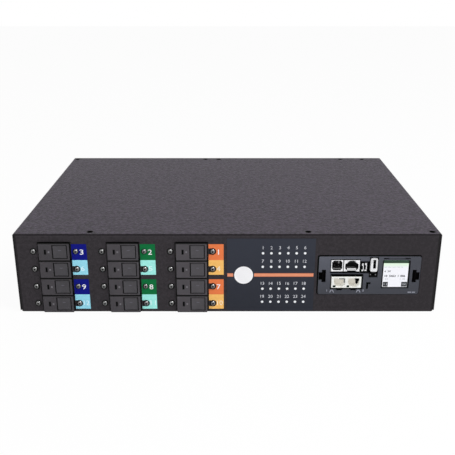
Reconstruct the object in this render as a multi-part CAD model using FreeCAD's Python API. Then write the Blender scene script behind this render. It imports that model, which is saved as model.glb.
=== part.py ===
import FreeCAD, Part
import os

# Rack power distribution unit, two rack units high. X runs to the right seen from the front, Y to the
# back and Z up. The origin is the centre of the underside. All sizes are millimetres.

V = FreeCAD.Vector
RIGHT = V(1, 0, 0)
BACKWARD = V(0, 1, 0)
UP = V(0, 0, 1)

# Case: a folded tray under a folded cover
case_width = 439.4
case_height = 88.9
case_depth = 307.0
sheet = 1.2
bend_inner_radius = 0.8
skirt_lift = 2.4
side_seam = 0.4
lip_depth = 13.0
side_flange_height = 14.0
corner_relief = 3.0
panel_corner_cut = 1.6
lip_corner_cut = 0.6

# Countersunk screws that hold the cover
cover_screw_radius = 1.45
cover_screw_length = 6.0
cover_screw_head_radius = 2.9
countersink_radius = 3.1
countersink_neck_radius = 1.9
screw_fit = 0.05
cover_screw_inset = 6.0
front_screws_from_left = (78.5,)
front_screws_from_right = (8.6, 136.3)
back_screws_from_left = (6.3,)
back_screws_from_middle = (-31.0, -12.5)
back_screws_from_right = (27.8, 58.7)
side_screw_end_margin = 43.5
side_screw_height = 8.0

# Tapped and collared holes for the rack ears, the same on both sides
ear_hole_radius = 1.65
ear_collar_radius = 3.0
ear_collar_length = 1.6
ear_spacing_y = 25.4
ear_spacing_z = 50.8
ear_first_row = 20.0

# Breakers lie on their sides in three columns of four, numbered 1 to 12 from the top right
rows = 4
floor_clearance = 0.9
field_margin_z = 10.1
breaker_gap = 2.1
bezel_width = 31.8
bezel_gap_z = 0.4
bezel_drop = 0.5
bezel_proud = 3.2
bezel_gap = 0.25
bezel_lip_height = 1.15
bezel_lip_recess = 1.2
bezel_bevel_top = 0.5
bezel_bevel_side = 0.5
bezel_corner_radius = 1.0
neck_margin = 0.05
neck_half_width = 15.5
breaker_width = 54.0
breaker_depth = 50.0
breaker_edge_radius = 1.5
cutout_side_margin = 1.4
cutout_top_margin = 0.85
cutout_low_margin = 0.35
trip_slot_x = -8.9
trip_slot_width = 1.6
trip_slot_height = 4.8
trip_slot_depth = 3.0

# Rocker on two trunnions
rocker_x = 6.1
rocker_width = 14.4
rocker_margin_z = 5.3
rocker_inset = 0.1
rocker_dish = 0.5
rocker_skirt = 3.4
rocker_gap_left = 0.8
rocker_gap_right = 0.6
rocker_gap_ends = 0.5
pocket_lip_depth = 0.6
pocket_undercut = 0.9
rocker_pocket_depth = 12.0
pivot_depth = 6.5
hub_radius = 3.0
tail_width = 2.4
tail_length = 3.9
trunnion_radius = 1.5
trunnion_length = 1.1
trunnion_fit = 0.06
trunnion_end_gap = 0.15

# Domed screws, one each side of every breaker
breaker_screw_spread = 43.6
breaker_screw_drop = 0.5
breaker_screw_radius = 1.45
breaker_screw_length = 8.0
breaker_screw_head_radius = 2.75
breaker_screw_head_height = 1.65
breaker_screw_rim = 0.35
socket_width = 2.0
socket_depth = 1.0
panel_hole_slack = 0.25

# Terminals at the back of each breaker, phase bars and neutral bar
terminal_spread = 28.0
terminal_width = 8.0
terminal_well_margin = 1.5
terminal_well_depth = 6.0
terminal_reach = 0.8
bar_width = 12.0
bar_thickness = 2.0
neutral_bar_length = 120.0
neutral_bar_height = 10.0
neutral_bar_gap = 38.0
insulator_width = 10.0
insulator_height = 16.0

# Printed labels, one for each pair of breakers
label_offset = 17.6
label_width = 15.6
label_gap_z = 5.2
label_rise = 0.3
label_thickness = 0.25
label_notch_radius = 3.75
label_notch_half_slot = 3.4

# Graphic overlay with the light-pipe ends of the 24 outlet lights
overlay_label_gap = 3.4
overlay_module_gap = 2.7
overlay_low = 1.8
overlay_top_margin = 5.2
overlay_thickness = 0.4
light_columns = 6
light_right_margin = 10.6
light_radius = 1.3
light_fit = 0.1
light_pipe_length = 8.3
light_web_margin = 4.0
light_web_thickness = 1.5
led_gap = 0.3
led_width = 2.0
led_height = 0.7
board_thickness = 1.6
led_board_margin = 6.0

# Monitoring module in its opening
module_drop = 1.9
module_width = 106.2
module_height = 43.3
module_thickness = 1.5
module_corner_radius = 2.5
opening_gap_left = 1.3
opening_gap_right = 0.4
opening_gap_top = 1.2
opening_gap_low = 0.4
module_board_y = 16.0
module_board_margin = 1.6
boss_radius = 2.5
boss_inset_x = 5.2
boss_inset_z = 4.6
port_proud = 0.3
port_margin = 0.7
port_margin_top = 0.9
port_margin_low = 1.3
jack_height = 12.6
jack_row_drop = 10.65
sensor_jack_dx = -33.9
sensor_jack_width = 12.4
sensor_port_width = 10.6
sensor_port_height = 10.8
sensor_port_rise = 0.4
sensor_port_corner = 1.9
serial_jack_dx = -18.65
serial_jack_width = 16.3
serial_port_width = 13.6
serial_key_width = 4.4
serial_port_low = 4.6
serial_port_high = 5.8
serial_port_corner = 1.4
serial_step = 1.85
serial_notch_width = 9.6
serial_notch_height = 1.0
serial_notch_depth = 2.5
jack_port_depth = 12.0
side_port_dx = -5.05
side_port_drop = 1.25
side_port_width = 6.7
side_port_height = 11.0
contact_port_dx = 4.0
contact_port_drop = 11.1
contact_port_width = 8.0
contact_port_height = 5.6
usb_dx = 4.35
usb_drop = 9.7
usb_width = 7.9
usb_height = 15.8
usb_corner_radius = 3.0
usb_mouth_width = 4.8
usb_mouth_height = 10.0
usb_mouth_rise = 0.8
usb_tongue_width = 1.9
usb_wall_left = 1.2
network_dx = -23.05
network_dz = -7.95
network_width = 31.5
network_height = 13.2
network_margin_top = 1.9
network_port_pitch = 14.8
network_port_width = 11.8
network_port_reach = 4.7
network_port_shoulder = 2.0
network_port_key_width = 4.6
network_port_key = 6.0
network_notch_width = 5.8
network_notch_height = 1.6
display_dx = 27.6
display_margin_top = 4.7
display_width = 26.6
display_margin_low = 8.1
display_border = 0.6
display_rim = 1.2
display_thickness = 4.0
slit_width = 5.2
slit_height = 0.9
slit_spread = 22.1
slit_rise = 2.3
hook_slot_dx = -1.7
hook_slot_dz = -15.5
hook_slot_long = 7.5
hook_slot_short = 3.9
hook_slot_stroke = 1.5

# Latches that slide towards the middle of the module
latch_dz = -0.8
latch_travel = 2.0
grip_hole_inset = 8.0
grip_hole_width = 4.3
grip_hole_height = 14.2
bolt_hole_width = 3.2
bolt_hole_height = 8.7
latch_gap = 0.3
latch_thickness = 1.8
latch_bolt_reach = 1.4
latch_bolt_height = 8.0
latch_grip_width = 1.6
latch_grip_recess = 0.4
latch_plate_lap = 0.5
rail_thickness = 1.2
rail_hook = 1.0

# Sheet-metal bay behind the opening
bay_depth = 46.0
bay_sheet = 1.0
bay_side_room = 1.8
bay_end_room = 1.4

# Outlets in the back panel: two rows of two banks
outlets_per_bank = 6
bank_gap = 0.8
bank_row_gap = 3.4
bank_end_margin = 1.3
bank_flange = 1.6
bank_flange_margin = 1.5
bank_body_depth = 22.0
bank_fit = 0.2
outlet_width = 17.0
outlet_margin_z = 4.2
outlet_corner = 4.2
outlet_moat = 2.1
outlet_depth = 15.0
pin_slot_long = 4.8
pin_slot_short = 2.6
pin_slot_depth = 11.0
pin_margin_z = 5.3
pin_offset = 2.0

# Supply gland and earth stud in the back panel
gland_edge_margin = 43.7
gland_across_flats = 36.0
gland_flange = 8.0
gland_thread_radius = 15.0
gland_bore_radius = 11.0
gland_inner_length = 14.0
gland_outer_length = 10.0
gland_seat_depth = 8.0
gland_wall = 1.4
gland_fit = 0.1
seal_bore_radius = 9.5
seal_length = 18.0
dome_length = 26.0
dome_radius = 18.0
dome_shoulder = 14.0
dome_gap = 0.3
locknut_thickness = 5.0
earth_edge_margin = 14.7
earth_z = 18.0
earth_radius = 3.0
earth_length = 20.0
earth_end_radius = 2.5
earth_step_gap = 0.3
earth_tip_chamfer = 0.5
earth_head_radius = 5.5
earth_head_thickness = 2.0
earth_washer_radius = 6.0
earth_washer_thickness = 1.2
earth_nut_across_flats = 10.0
earth_nut_thickness = 5.0

# Boards and blocks on the tray's floor
terminal_block_size = (60.0, 34.0, 30.0)
terminal_block_edge_margin = 13.7
terminal_block_back_gap = 57.5
terminal_ways = 5
terminal_way_width = 8.0
terminal_way_depth = 12.0
metering_board_left_inset = 5.5
metering_board_edge_margin = 29.7
metering_board_back_gap = 37.5
metering_board_depth = 98.0
standoff_height = 8.0
standoff_radius = 3.0
sensor_size = (8.0, 12.0, 10.0)
sensor_first_inset = 15.0
sensor_back_insets = (50.0, 20.0)
supply_size = (62.0, 40.0, 24.0)
supply_inset_x = 16.0
supply_inset_y = 4.0

# Sizes and places that follow from the driving ones. Panel fields share the case's width and height.
front = -case_depth / 2
back = case_depth / 2
left_edge = -case_width / 2
right_edge = case_width / 2
bend_outer_radius = bend_inner_radius + sheet
tray_half_width = case_width / 2 - sheet - side_seam
tray_top = case_height - sheet
front_screw_places = [left_edge + inset for inset in front_screws_from_left]
front_screw_places += [right_edge - inset for inset in front_screws_from_right]
back_screw_places = [left_edge + inset for inset in back_screws_from_left]
back_screw_places += list(back_screws_from_middle)
back_screw_places += [right_edge - inset for inset in back_screws_from_right]
side_screw_reach = case_depth / 2 - side_screw_end_margin
side_screw_places = (-side_screw_reach, 0, side_screw_reach)

row_pitch = (case_height - field_margin_z) / rows
breaker_half_height = (row_pitch - breaker_gap) / 2
neck_half_height = breaker_half_height - neck_margin
bezel_above = (row_pitch - bezel_gap_z) / 2 - bezel_drop
bezel_below = (row_pitch - bezel_gap_z) / 2 + bezel_drop
rocker_height = row_pitch - rocker_margin_z
label_height = 2 * row_pitch - label_gap_z
first_row_z = sheet + floor_clearance + breaker_half_height
row_places = [first_row_z + step * row_pitch for step in range(rows)]
column_pitch = case_width * 0.16067
first_column_x = left_edge + case_width * 0.09468
column_places = [first_column_x + step * column_pitch for step in range(3)]
breaker_back = sheet + breaker_depth
pivot_y = pivot_depth - bezel_proud + rocker_inset
cutout_half_width = bezel_width / 2 + cutout_side_margin
cutout_low = row_places[0] - neck_half_height - cutout_low_margin
cutout_high = row_places[-1] + bezel_above + cutout_top_margin

module_x = right_edge - case_width * 0.04233 - module_width / 2
module_z = case_height / 2 - module_drop
opening_left = module_x - module_width / 2 - opening_gap_left
opening_right = module_x + module_width / 2 + opening_gap_right
opening_low = module_z - module_height / 2 - opening_gap_low
opening_high = module_z + module_height / 2 + opening_gap_top
jack_row_dz = module_height / 2 - jack_row_drop
jack_z = module_z + jack_row_dz
side_port_dz = jack_row_dz - side_port_drop
usb_dz = module_height / 2 - usb_drop
contact_port_dz = usb_dz - contact_port_drop
display_height = module_height - display_margin_top - display_margin_low
display_dz = (display_margin_low - display_margin_top) / 2
grip_hole_inner = module_width / 2 - grip_hole_inset
latch_plate_inner = grip_hole_inner - latch_plate_lap
latch_back = module_thickness + latch_gap + latch_thickness

overlay_left = column_places[-1] + label_offset + label_width + overlay_label_gap
overlay_right = opening_left - overlay_module_gap
overlay_high = case_height - overlay_top_margin
light_first_x = overlay_left + (overlay_right - overlay_left) * 0.408
light_right_x = overlay_right - light_right_margin
light_pitch_x = (light_right_x - light_first_x) / (light_columns - 1)
light_low_z = case_height * 0.1372
light_row_rises = (0, case_height * 0.171, case_height * 0.4522, case_height * 0.6232)
light_places = [(light_first_x + column * light_pitch_x, light_low_z + rise)
                for rise in light_row_rises for column in range(light_columns)]
light_high_z = light_low_z + light_row_rises[-1]
led_board_y = light_pipe_length - overlay_thickness + led_gap + led_height

bank_rise = case_height * 0.2047
bank_height = 2 * bank_rise - bank_row_gap
bank_rows = (case_height / 2 - bank_rise, case_height / 2 + bank_rise)
banks_left = -case_width * 0.297
banks_right = case_width * 0.3857
bank_width = (banks_right - banks_left - bank_gap) / 2
bank_lefts = (banks_left, banks_left + bank_width + bank_gap)
outlet_pitch = (bank_width - 2 * bank_end_margin) / outlets_per_bank
outlet_height = bank_height - 2 * outlet_margin_z
pin_spread = outlet_height - 2 * pin_margin_z
gland_x = left_edge + gland_edge_margin
gland_z = case_height * 0.56243
earth_x = left_edge + earth_edge_margin

metering_board_left = banks_left + metering_board_left_inset
metering_board_right = right_edge - metering_board_edge_margin
metering_board_back = back - metering_board_back_gap
metering_board_front = metering_board_back - metering_board_depth
sensors_in_row = 2 * outlets_per_bank
neutral_bar_y = metering_board_front - neutral_bar_gap


def block(x0, x1, y0, y1, z0, z1):
    """Box between two corners."""
    return Part.makeBox(x1 - x0, y1 - y0, z1 - z0, V(x0, y0, z0))


def round_bar(radius, length, base, direction):
    """Cylinder from its base centre along a direction."""
    return Part.makeCylinder(radius, length, base, direction)


def outline(start, *steps):
    """Closed wire from a start point through straight steps (a point) and arcs (middle and end point)."""
    edges = []
    here = start
    for step in steps + (start,):
        if isinstance(step, tuple):
            middle, there = step
            edges.append(Part.Arc(here, middle, there).toShape())
        else:
            there = step
            edges.append(Part.LineSegment(here, there).toShape())
        here = there
    return Part.Wire(edges)


def front_prism(points, y0, y1):
    """Prism of an outline seen from the front, given as (x, z) points, from y0 to y1."""
    places = [V(x, y0, z) for x, z in points]
    return Part.Face(outline(*places)).extrude(BACKWARD * (y1 - y0))


def side_prism(points, x0, x1):
    """Prism of an outline seen from the side, given as (y, z) points, from x0 to x1."""
    places = [V(x0, y, z) for y, z in points]
    return Part.Face(outline(*places)).extrude(RIGHT * (x1 - x0))


def plan_prism(points, z0, z1):
    """Prism of an outline seen from above, given as (x, y) points, from z0 to z1."""
    places = [V(x, y, z0) for x, y in points]
    return Part.Face(outline(*places)).extrude(UP * (z1 - z0))


def turned(profile, base, direction):
    """Solid of revolution of (radius, height) points, its heights measured from base along direction."""
    places = [V(radius, 0, height) for radius, height in profile]
    solid = Part.Face(outline(*places)).revolve(V(0, 0, 0), UP, 360)
    solid.Placement = FreeCAD.Placement(base, FreeCAD.Rotation(UP, direction))
    return solid


def hexagon(across_flats, length, base, direction):
    """Hexagonal bar from its base centre along a direction."""
    corner = across_flats / 3 ** 0.5
    places = [FreeCAD.Rotation(UP, 60 * step).multVec(V(corner, 0, 0)) for step in range(6)]
    bar = Part.Face(outline(*places)).extrude(UP * length)
    bar.Placement = FreeCAD.Placement(base, FreeCAD.Rotation(UP, direction))
    return bar


def edges_along(shape, direction, keep=lambda centre: True):
    """Straight edges that run along a direction, of those whose centre the test keeps."""
    chosen = []
    for edge in shape.Edges:
        run = edge.Vertexes[-1].Point - edge.Vertexes[0].Point
        straight = run.Length > 0 and abs(abs(run.dot(direction)) - run.Length) < 1e-6
        if straight and keep(edge.CenterOfMass):
            chosen.append(edge)
    return chosen


def rounded(shape, radius, direction, keep=lambda centre: True):
    """The shape with its edges along a direction rounded."""
    return shape.makeFillet(radius, edges_along(shape, direction, keep))


def joined(shapes):
    """One solid from shapes that touch, with the seams between flush faces removed."""
    return shapes[0].fuse(shapes[1:]).removeSplitter()


def at_front(shape, x, z):
    """A shape drawn about the panel's front face, moved to its place on the panel."""
    moved = shape.copy()
    moved.translate(V(x, front, z))
    return moved


def group(solids):
    """Separate solids kept together in one node."""
    return Part.makeCompound(solids)


def cover_screw_spots():
    """Base point on the cover's skin and outward direction of every cover screw."""
    spots = [(V(x, front + cover_screw_inset, case_height), UP) for x in front_screw_places]
    spots += [(V(x, back - cover_screw_inset, case_height), UP) for x in back_screw_places]
    for side in (-1, 1):
        for y in side_screw_places:
            spots.append((V(side * case_width / 2, y, side_screw_height), RIGHT * side))
    return spots


def ear_spots():
    """Hole centres of the rack ears on the cover's skin, with the outward direction."""
    spots = []
    for side in (-1, 1):
        for y in (front + ear_first_row, front + ear_first_row + ear_spacing_y):
            for z in (case_height / 2 - ear_spacing_z / 2, case_height / 2 + ear_spacing_z / 2):
                spots.append((V(side * case_width / 2, y, z), RIGHT * side))
    return spots


def make_top_cover():
    """Top and both sides, bent from one sheet, with countersunk and tapped holes."""
    half = case_width / 2
    skin = rounded(block(-half, half, front, back, skirt_lift, case_height),
                   bend_outer_radius, BACKWARD, lambda centre: centre.z > case_height / 2)
    room = rounded(block(sheet - half, half - sheet, front, back, 0, tray_top),
                   bend_inner_radius, BACKWARD, lambda centre: centre.z > case_height / 2)
    cover = skin.cut(room)
    sinks = []
    for base, outward in cover_screw_spots():
        profile = [(0, -sheet), (countersink_neck_radius, -sheet), (countersink_radius, 0), (0, 0)]
        sinks.append(turned(profile, base, outward))
    cover = cover.cut(sinks)
    collars = []
    holes = []
    for base, outward in ear_spots():
        collar_length = sheet / 2 + ear_collar_length
        middle = base - outward * (sheet / 2)
        collars.append(round_bar(ear_collar_radius, collar_length, middle, outward * -1))
        holes.append(round_bar(ear_hole_radius, sheet + ear_collar_length, base, outward * -1))
    return joined([cover] + collars).cut(holes)


def folded_tray():
    """Underside, front, back and screw lips as one strip, then the side flanges bent up."""
    width = 2 * tray_half_width
    shell = rounded(block(-tray_half_width, tray_half_width, front, back, 0, tray_top),
                    bend_outer_radius, RIGHT)
    room = rounded(block(-width, width, front + sheet, back - sheet, sheet, tray_top - sheet),
                   bend_inner_radius, RIGHT)
    mouth = block(-width, width, front + lip_depth, back - lip_depth, case_height / 2, case_height)
    strip = shell.cut([room, mouth])
    relief = bend_outer_radius + corner_relief
    notches = []
    for side in (-1, 1):
        edge = side * tray_half_width
        inner = side * (tray_half_width - bend_outer_radius)
        notches.append(block(min(edge, inner), max(edge, inner), front + relief, back - relief, 0, sheet))
    strip = strip.cut(notches)
    channel = block(-tray_half_width, tray_half_width, front + relief, back - relief, 0, side_flange_height)
    channel = rounded(channel, bend_outer_radius, BACKWARD, lambda centre: centre.z < sheet)
    inside = rounded(block(sheet - tray_half_width, tray_half_width - sheet, front, back, sheet, case_height),
                     bend_inner_radius, BACKWARD, lambda centre: centre.z < 2 * sheet)
    tray = joined([strip, channel.cut(inside)])
    cuts = []
    for side in (-1, 1):
        corner = side * tray_half_width
        foot = [(corner, 0), (corner - side * panel_corner_cut, 0), (corner, panel_corner_cut)]
        lip = [(corner, tray_top), (corner - side * lip_corner_cut, tray_top),
               (corner, tray_top - lip_corner_cut)]
        for y in (front, back - relief):
            cuts.append(front_prism(foot, y, y + relief))
        for y in (front, back - lip_depth):
            cuts.append(front_prism(lip, y, y + lip_depth))
    return tray.cut(cuts)


def make_base_tray():
    """The folded tray with every opening and hole in its front, back and flanges."""
    cuts = []
    panel_back = front + sheet + bend_inner_radius
    for x in column_places:
        cuts.append(block(x - cutout_half_width, x + cutout_half_width, front, panel_back,
                          cutout_low, cutout_high))
        for z in row_places:
            for side in (-1, 1):
                base = V(x + side * breaker_screw_spread / 2, front, z - breaker_screw_drop)
                cuts.append(round_bar(breaker_screw_radius + panel_hole_slack, sheet, base, BACKWARD))
    for x, z in light_places:
        cuts.append(round_bar(light_radius + light_fit, sheet, V(x, front, z), BACKWARD))
    opening = block(opening_left, opening_right, front, front + sheet, opening_low, opening_high)
    cuts.append(rounded(opening, module_corner_radius, BACKWARD))
    for left in bank_lefts:
        for z in bank_rows:
            room = bank_flange_margin - bank_fit
            cuts.append(block(left + room, left + bank_width - room, back - sheet, back,
                              z - bank_height / 2 + room, z + bank_height / 2 - room))
    for radius, x, z in ((gland_thread_radius + gland_fit, gland_x, gland_z),
                         (earth_radius + screw_fit, earth_x, earth_z)):
        cuts.append(round_bar(radius, sheet, V(x, back - sheet, z), BACKWARD))
    for base, outward in cover_screw_spots():
        hole = round_bar(cover_screw_radius + screw_fit, cover_screw_length, base, outward * -1)
        cuts.append(hole)
    return folded_tray().cut(cuts)


def make_cover_screws():
    """Countersunk screws with a hexagon socket, flush in the cover."""
    screws = []
    neck = countersink_neck_radius - (countersink_radius - cover_screw_head_radius)
    for base, outward in cover_screw_spots():
        profile = [(0, -cover_screw_length), (cover_screw_radius, -cover_screw_length),
                   (cover_screw_radius, -sheet), (neck, -sheet), (cover_screw_head_radius, 0), (0, 0)]
        screw = turned(profile, base, outward)
        screws.append(screw.cut(hexagon(socket_width, socket_depth, base, outward * -1)))
    return group(screws)


def breaker_case():
    """Moulded breaker case drawn about the panel's front face and the rocker's middle height."""
    low = -bezel_below
    face = -bezel_proud
    half = bezel_width / 2
    section = [(-bezel_gap, low), (-bezel_gap, bezel_above), (face + bezel_bevel_top, bezel_above),
               (face, bezel_above - bezel_bevel_top), (face, low + bezel_lip_height),
               (face + bezel_lip_recess, low + bezel_lip_height), (face + bezel_lip_recess, low)]
    plan = [(-half, -bezel_gap), (-half, face + bezel_bevel_side), (bezel_bevel_side - half, face),
            (half - bezel_bevel_side, face), (half, face + bezel_bevel_side), (half, -bezel_gap)]
    front_view = block(-half, half, face, -bezel_gap, low, bezel_above)
    front_view = rounded(front_view, bezel_corner_radius, BACKWARD)
    bezel = side_prism(section, -half, half).common(plan_prism(plan, low, bezel_above)).common(front_view)
    neck = block(-neck_half_width, neck_half_width, -bezel_gap, sheet, -neck_half_height, neck_half_height)
    body_half = breaker_width / 2
    body = block(-body_half, body_half, sheet, breaker_back, -breaker_half_height, breaker_half_height)
    body = rounded(body, breaker_edge_radius, UP, lambda centre: centre.y > breaker_depth / 2)
    case = joined([bezel, neck, body])
    pocket_left = rocker_x - rocker_width / 2 - rocker_gap_left
    pocket_right = rocker_x + rocker_width / 2 + rocker_gap_right
    pocket_half = rocker_height / 2 + rocker_gap_ends
    pivot_half = pocket_half + trunnion_length - rocker_gap_ends + trunnion_end_gap
    pocket_floor = face + rocker_pocket_depth
    lip_end = face + pocket_lip_depth
    pocket = [(pocket_left, face), (pocket_right, face), (pocket_right, pocket_floor),
              (pocket_left - pocket_undercut, pocket_floor),
              (pocket_left - pocket_undercut, lip_end + pocket_undercut), (pocket_left, lip_end)]
    cuts = [plan_prism(pocket, -pocket_half, pocket_half),
            block(trip_slot_x - trip_slot_width / 2, trip_slot_x + trip_slot_width / 2, face,
                  face + trip_slot_depth, -trip_slot_height / 2, trip_slot_height / 2),
            round_bar(trunnion_radius + trunnion_fit, 2 * pivot_half, V(rocker_x, pivot_y, -pivot_half), UP)]
    well = terminal_width / 2 + terminal_well_margin
    for side in (-1, 1):
        x = side * terminal_spread / 2
        cuts.append(block(x - well, x + well, breaker_back - terminal_well_depth, breaker_back, -well, well))
        insert = V(side * breaker_screw_spread / 2, sheet, -breaker_screw_drop)
        cuts.append(round_bar(breaker_screw_radius + screw_fit, breaker_screw_length, insert, BACKWARD))
    return case.cut(cuts)


def breaker_rocker():
    """Dished rocker with its skirt, hub, driving tail and two trunnions."""
    face = rocker_inset - bezel_proud
    left = rocker_x - rocker_width / 2
    right = rocker_x + rocker_width / 2
    half = rocker_height / 2
    skirt = face + rocker_skirt
    low = V(0, 0, -half)
    wire = outline(V(left, face, 0) + low,
                   (V(rocker_x, face + rocker_dish, 0) + low, V(right, face, 0) + low),
                   V(right, skirt, 0) + low, V(rocker_x + hub_radius, pivot_y, 0) + low,
                   V(rocker_x - hub_radius, pivot_y, 0) + low, V(left, skirt, 0) + low)
    cap = Part.Face(wire).extrude(UP * rocker_height)
    hub = round_bar(hub_radius, rocker_height, V(rocker_x, pivot_y, -half), UP)
    tail = block(rocker_x - tail_width / 2, rocker_x + tail_width / 2, pivot_y, pivot_y + tail_length,
                 -half / 2, half / 2)
    pin_half = half + trunnion_length
    pins = round_bar(trunnion_radius, 2 * pin_half, V(rocker_x, pivot_y, -pin_half), UP)
    return joined([cap, hub, tail, pins])


def breaker_screw():
    """Domed screw with a hexagon socket, its head on the panel's front face."""
    height = breaker_screw_head_height
    crown = V(breaker_screw_head_radius * 0.75, 0, breaker_screw_rim + (height - breaker_screw_rim) * 0.68)
    flat = socket_width * 0.7
    wire = outline(V(0, 0, -breaker_screw_length), V(breaker_screw_radius, 0, -breaker_screw_length),
                   V(breaker_screw_radius, 0, 0), V(breaker_screw_head_radius, 0, 0),
                   V(breaker_screw_head_radius, 0, breaker_screw_rim), (crown, V(flat, 0, height)),
                   V(0, 0, height))
    screw = Part.Face(wire).revolve(V(0, 0, 0), UP, 360)
    screw = screw.cut(hexagon(socket_width, socket_depth, V(0, 0, height), UP * -1))
    screw.rotate(V(0, 0, 0), RIGHT, 90)
    return screw


def terminal_post():
    """Square clamp post that stands in its well and carries the busbar."""
    half = terminal_width / 2
    start = breaker_back - terminal_well_depth
    return block(-half, half, start, breaker_back + terminal_reach, -half, half)


def make_breakers():
    """Cases, rockers, screws, terminals and labels of the whole breaker field."""
    nodes = {}
    case = breaker_case()
    rocker = breaker_rocker()
    screw = breaker_screw()
    post = terminal_post()
    screws = []
    posts = []
    for row, z in enumerate(reversed(row_places)):
        for column, x in enumerate(column_places):
            number = 3 - column + 3 * row
            nodes["breaker_case_%02d" % number] = at_front(case, x, z)
            nodes["breaker_rocker_%02d" % number] = at_front(rocker, x, z)
            for side in (-1, 1):
                screws.append(at_front(screw, x + side * breaker_screw_spread / 2, z - breaker_screw_drop))
                posts.append(at_front(post, x + side * terminal_spread / 2, z))
    nodes["breaker_screws"] = group(screws)
    nodes["breaker_terminals"] = group(posts)
    for column, name in enumerate(("labels_blue", "labels_green", "labels_orange")):
        nodes[name] = make_labels(column_places[column])
    return nodes


def make_labels(x):
    """Two printed labels of a column, each beside two breakers and notched round their screws."""
    left = x + label_offset
    labels = []
    for first in range(0, rows - 1, 2):
        middle = (row_places[first] + row_places[first + 1]) / 2 + label_rise
        label = block(left, left + label_width, front - label_thickness, front,
                      middle - label_height / 2, middle + label_height / 2)
        notches = []
        for z in row_places[first:first + 2]:
            screw_x = x + breaker_screw_spread / 2
            screw_z = z - breaker_screw_drop
            base = V(screw_x, front - label_thickness, screw_z)
            notches.append(round_bar(label_notch_radius, label_thickness, base, BACKWARD))
            notches.append(block(left, screw_x, front - label_thickness, front,
                                 screw_z - label_notch_half_slot, screw_z + label_notch_half_slot))
        labels.append(label.cut(notches))
    return group(labels)


def make_busbars():
    """Phase bar on the line terminals of each column, and the neutral bar on two insulators."""
    solids = []
    bar_y = front + breaker_back + terminal_reach
    reach = terminal_width / 2 + 1
    for x in column_places:
        middle = x - terminal_spread / 2
        solids.append(block(middle - bar_width / 2, middle + bar_width / 2, bar_y, bar_y + bar_thickness,
                            row_places[0] - reach, row_places[-1] + reach))
    left = column_places[1] - neutral_bar_length / 2
    right = column_places[1] + neutral_bar_length / 2
    top = sheet + insulator_height
    bar = block(left, right, neutral_bar_y, neutral_bar_y + neutral_bar_height, top, top + bar_thickness)
    solids.append(bar)
    for x in (left, right - insulator_width):
        solids.append(block(x, x + insulator_width, neutral_bar_y, neutral_bar_y + neutral_bar_height,
                            sheet, top))
    return group(solids)


def make_overlay():
    """Printed graphic sheet with a window for each light pipe."""
    sheet_solid = block(overlay_left, overlay_right, front - overlay_thickness, front,
                        overlay_low, overlay_high)
    windows = []
    for x, z in light_places:
        base = V(x, front - overlay_thickness, z)
        windows.append(round_bar(light_radius + light_fit, overlay_thickness, base, BACKWARD))
    return sheet_solid.cut(windows)


def make_light_pipes():
    """Clear moulding: a web behind the panel and one rod through it for each light."""
    web = block(light_first_x - light_web_margin, light_right_x + light_web_margin,
                front + sheet, front + sheet + light_web_thickness,
                light_low_z - light_web_margin, light_high_z + light_web_margin)
    rods = []
    for x, z in light_places:
        rods.append(round_bar(light_radius, light_pipe_length, V(x, front - overlay_thickness, z), BACKWARD))
    return joined([web] + rods)


def make_led_board():
    """Board with one light source in front of each rod."""
    y = front + led_board_y
    board = block(light_first_x - led_board_margin, light_right_x + led_board_margin, y, y + board_thickness,
                  light_low_z - led_board_margin, light_high_z + led_board_margin)
    lamps = []
    for x, z in light_places:
        half = led_width / 2
        lamps.append(block(x - half, x + half, y - led_height, y, z - half, z + half))
    return joined([board] + lamps)


def port_box(dx, dz, width, height, y0, y1, margin=0.0):
    """Box in the module, placed from its middle, with a margin all round."""
    x = module_x + dx
    z = module_z + dz
    return block(x - width / 2 - margin, x + width / 2 + margin, front + y0, front + y1,
                 z - height / 2 - margin, z + height / 2 + margin)


def latch_openings():
    """T-shaped grip openings at both ends of the faceplate."""
    holes = []
    for side in (-1, 1):
        grip = side * (grip_hole_inner + grip_hole_width / 2)
        bolt = side * (grip_hole_inner + grip_hole_width + bolt_hole_width / 2)
        holes.append(port_box(grip, latch_dz, grip_hole_width, grip_hole_height, 0, module_thickness))
        holes.append(port_box(bolt, latch_dz, bolt_hole_width, bolt_hole_height, 0, module_thickness))
    return holes


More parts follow.
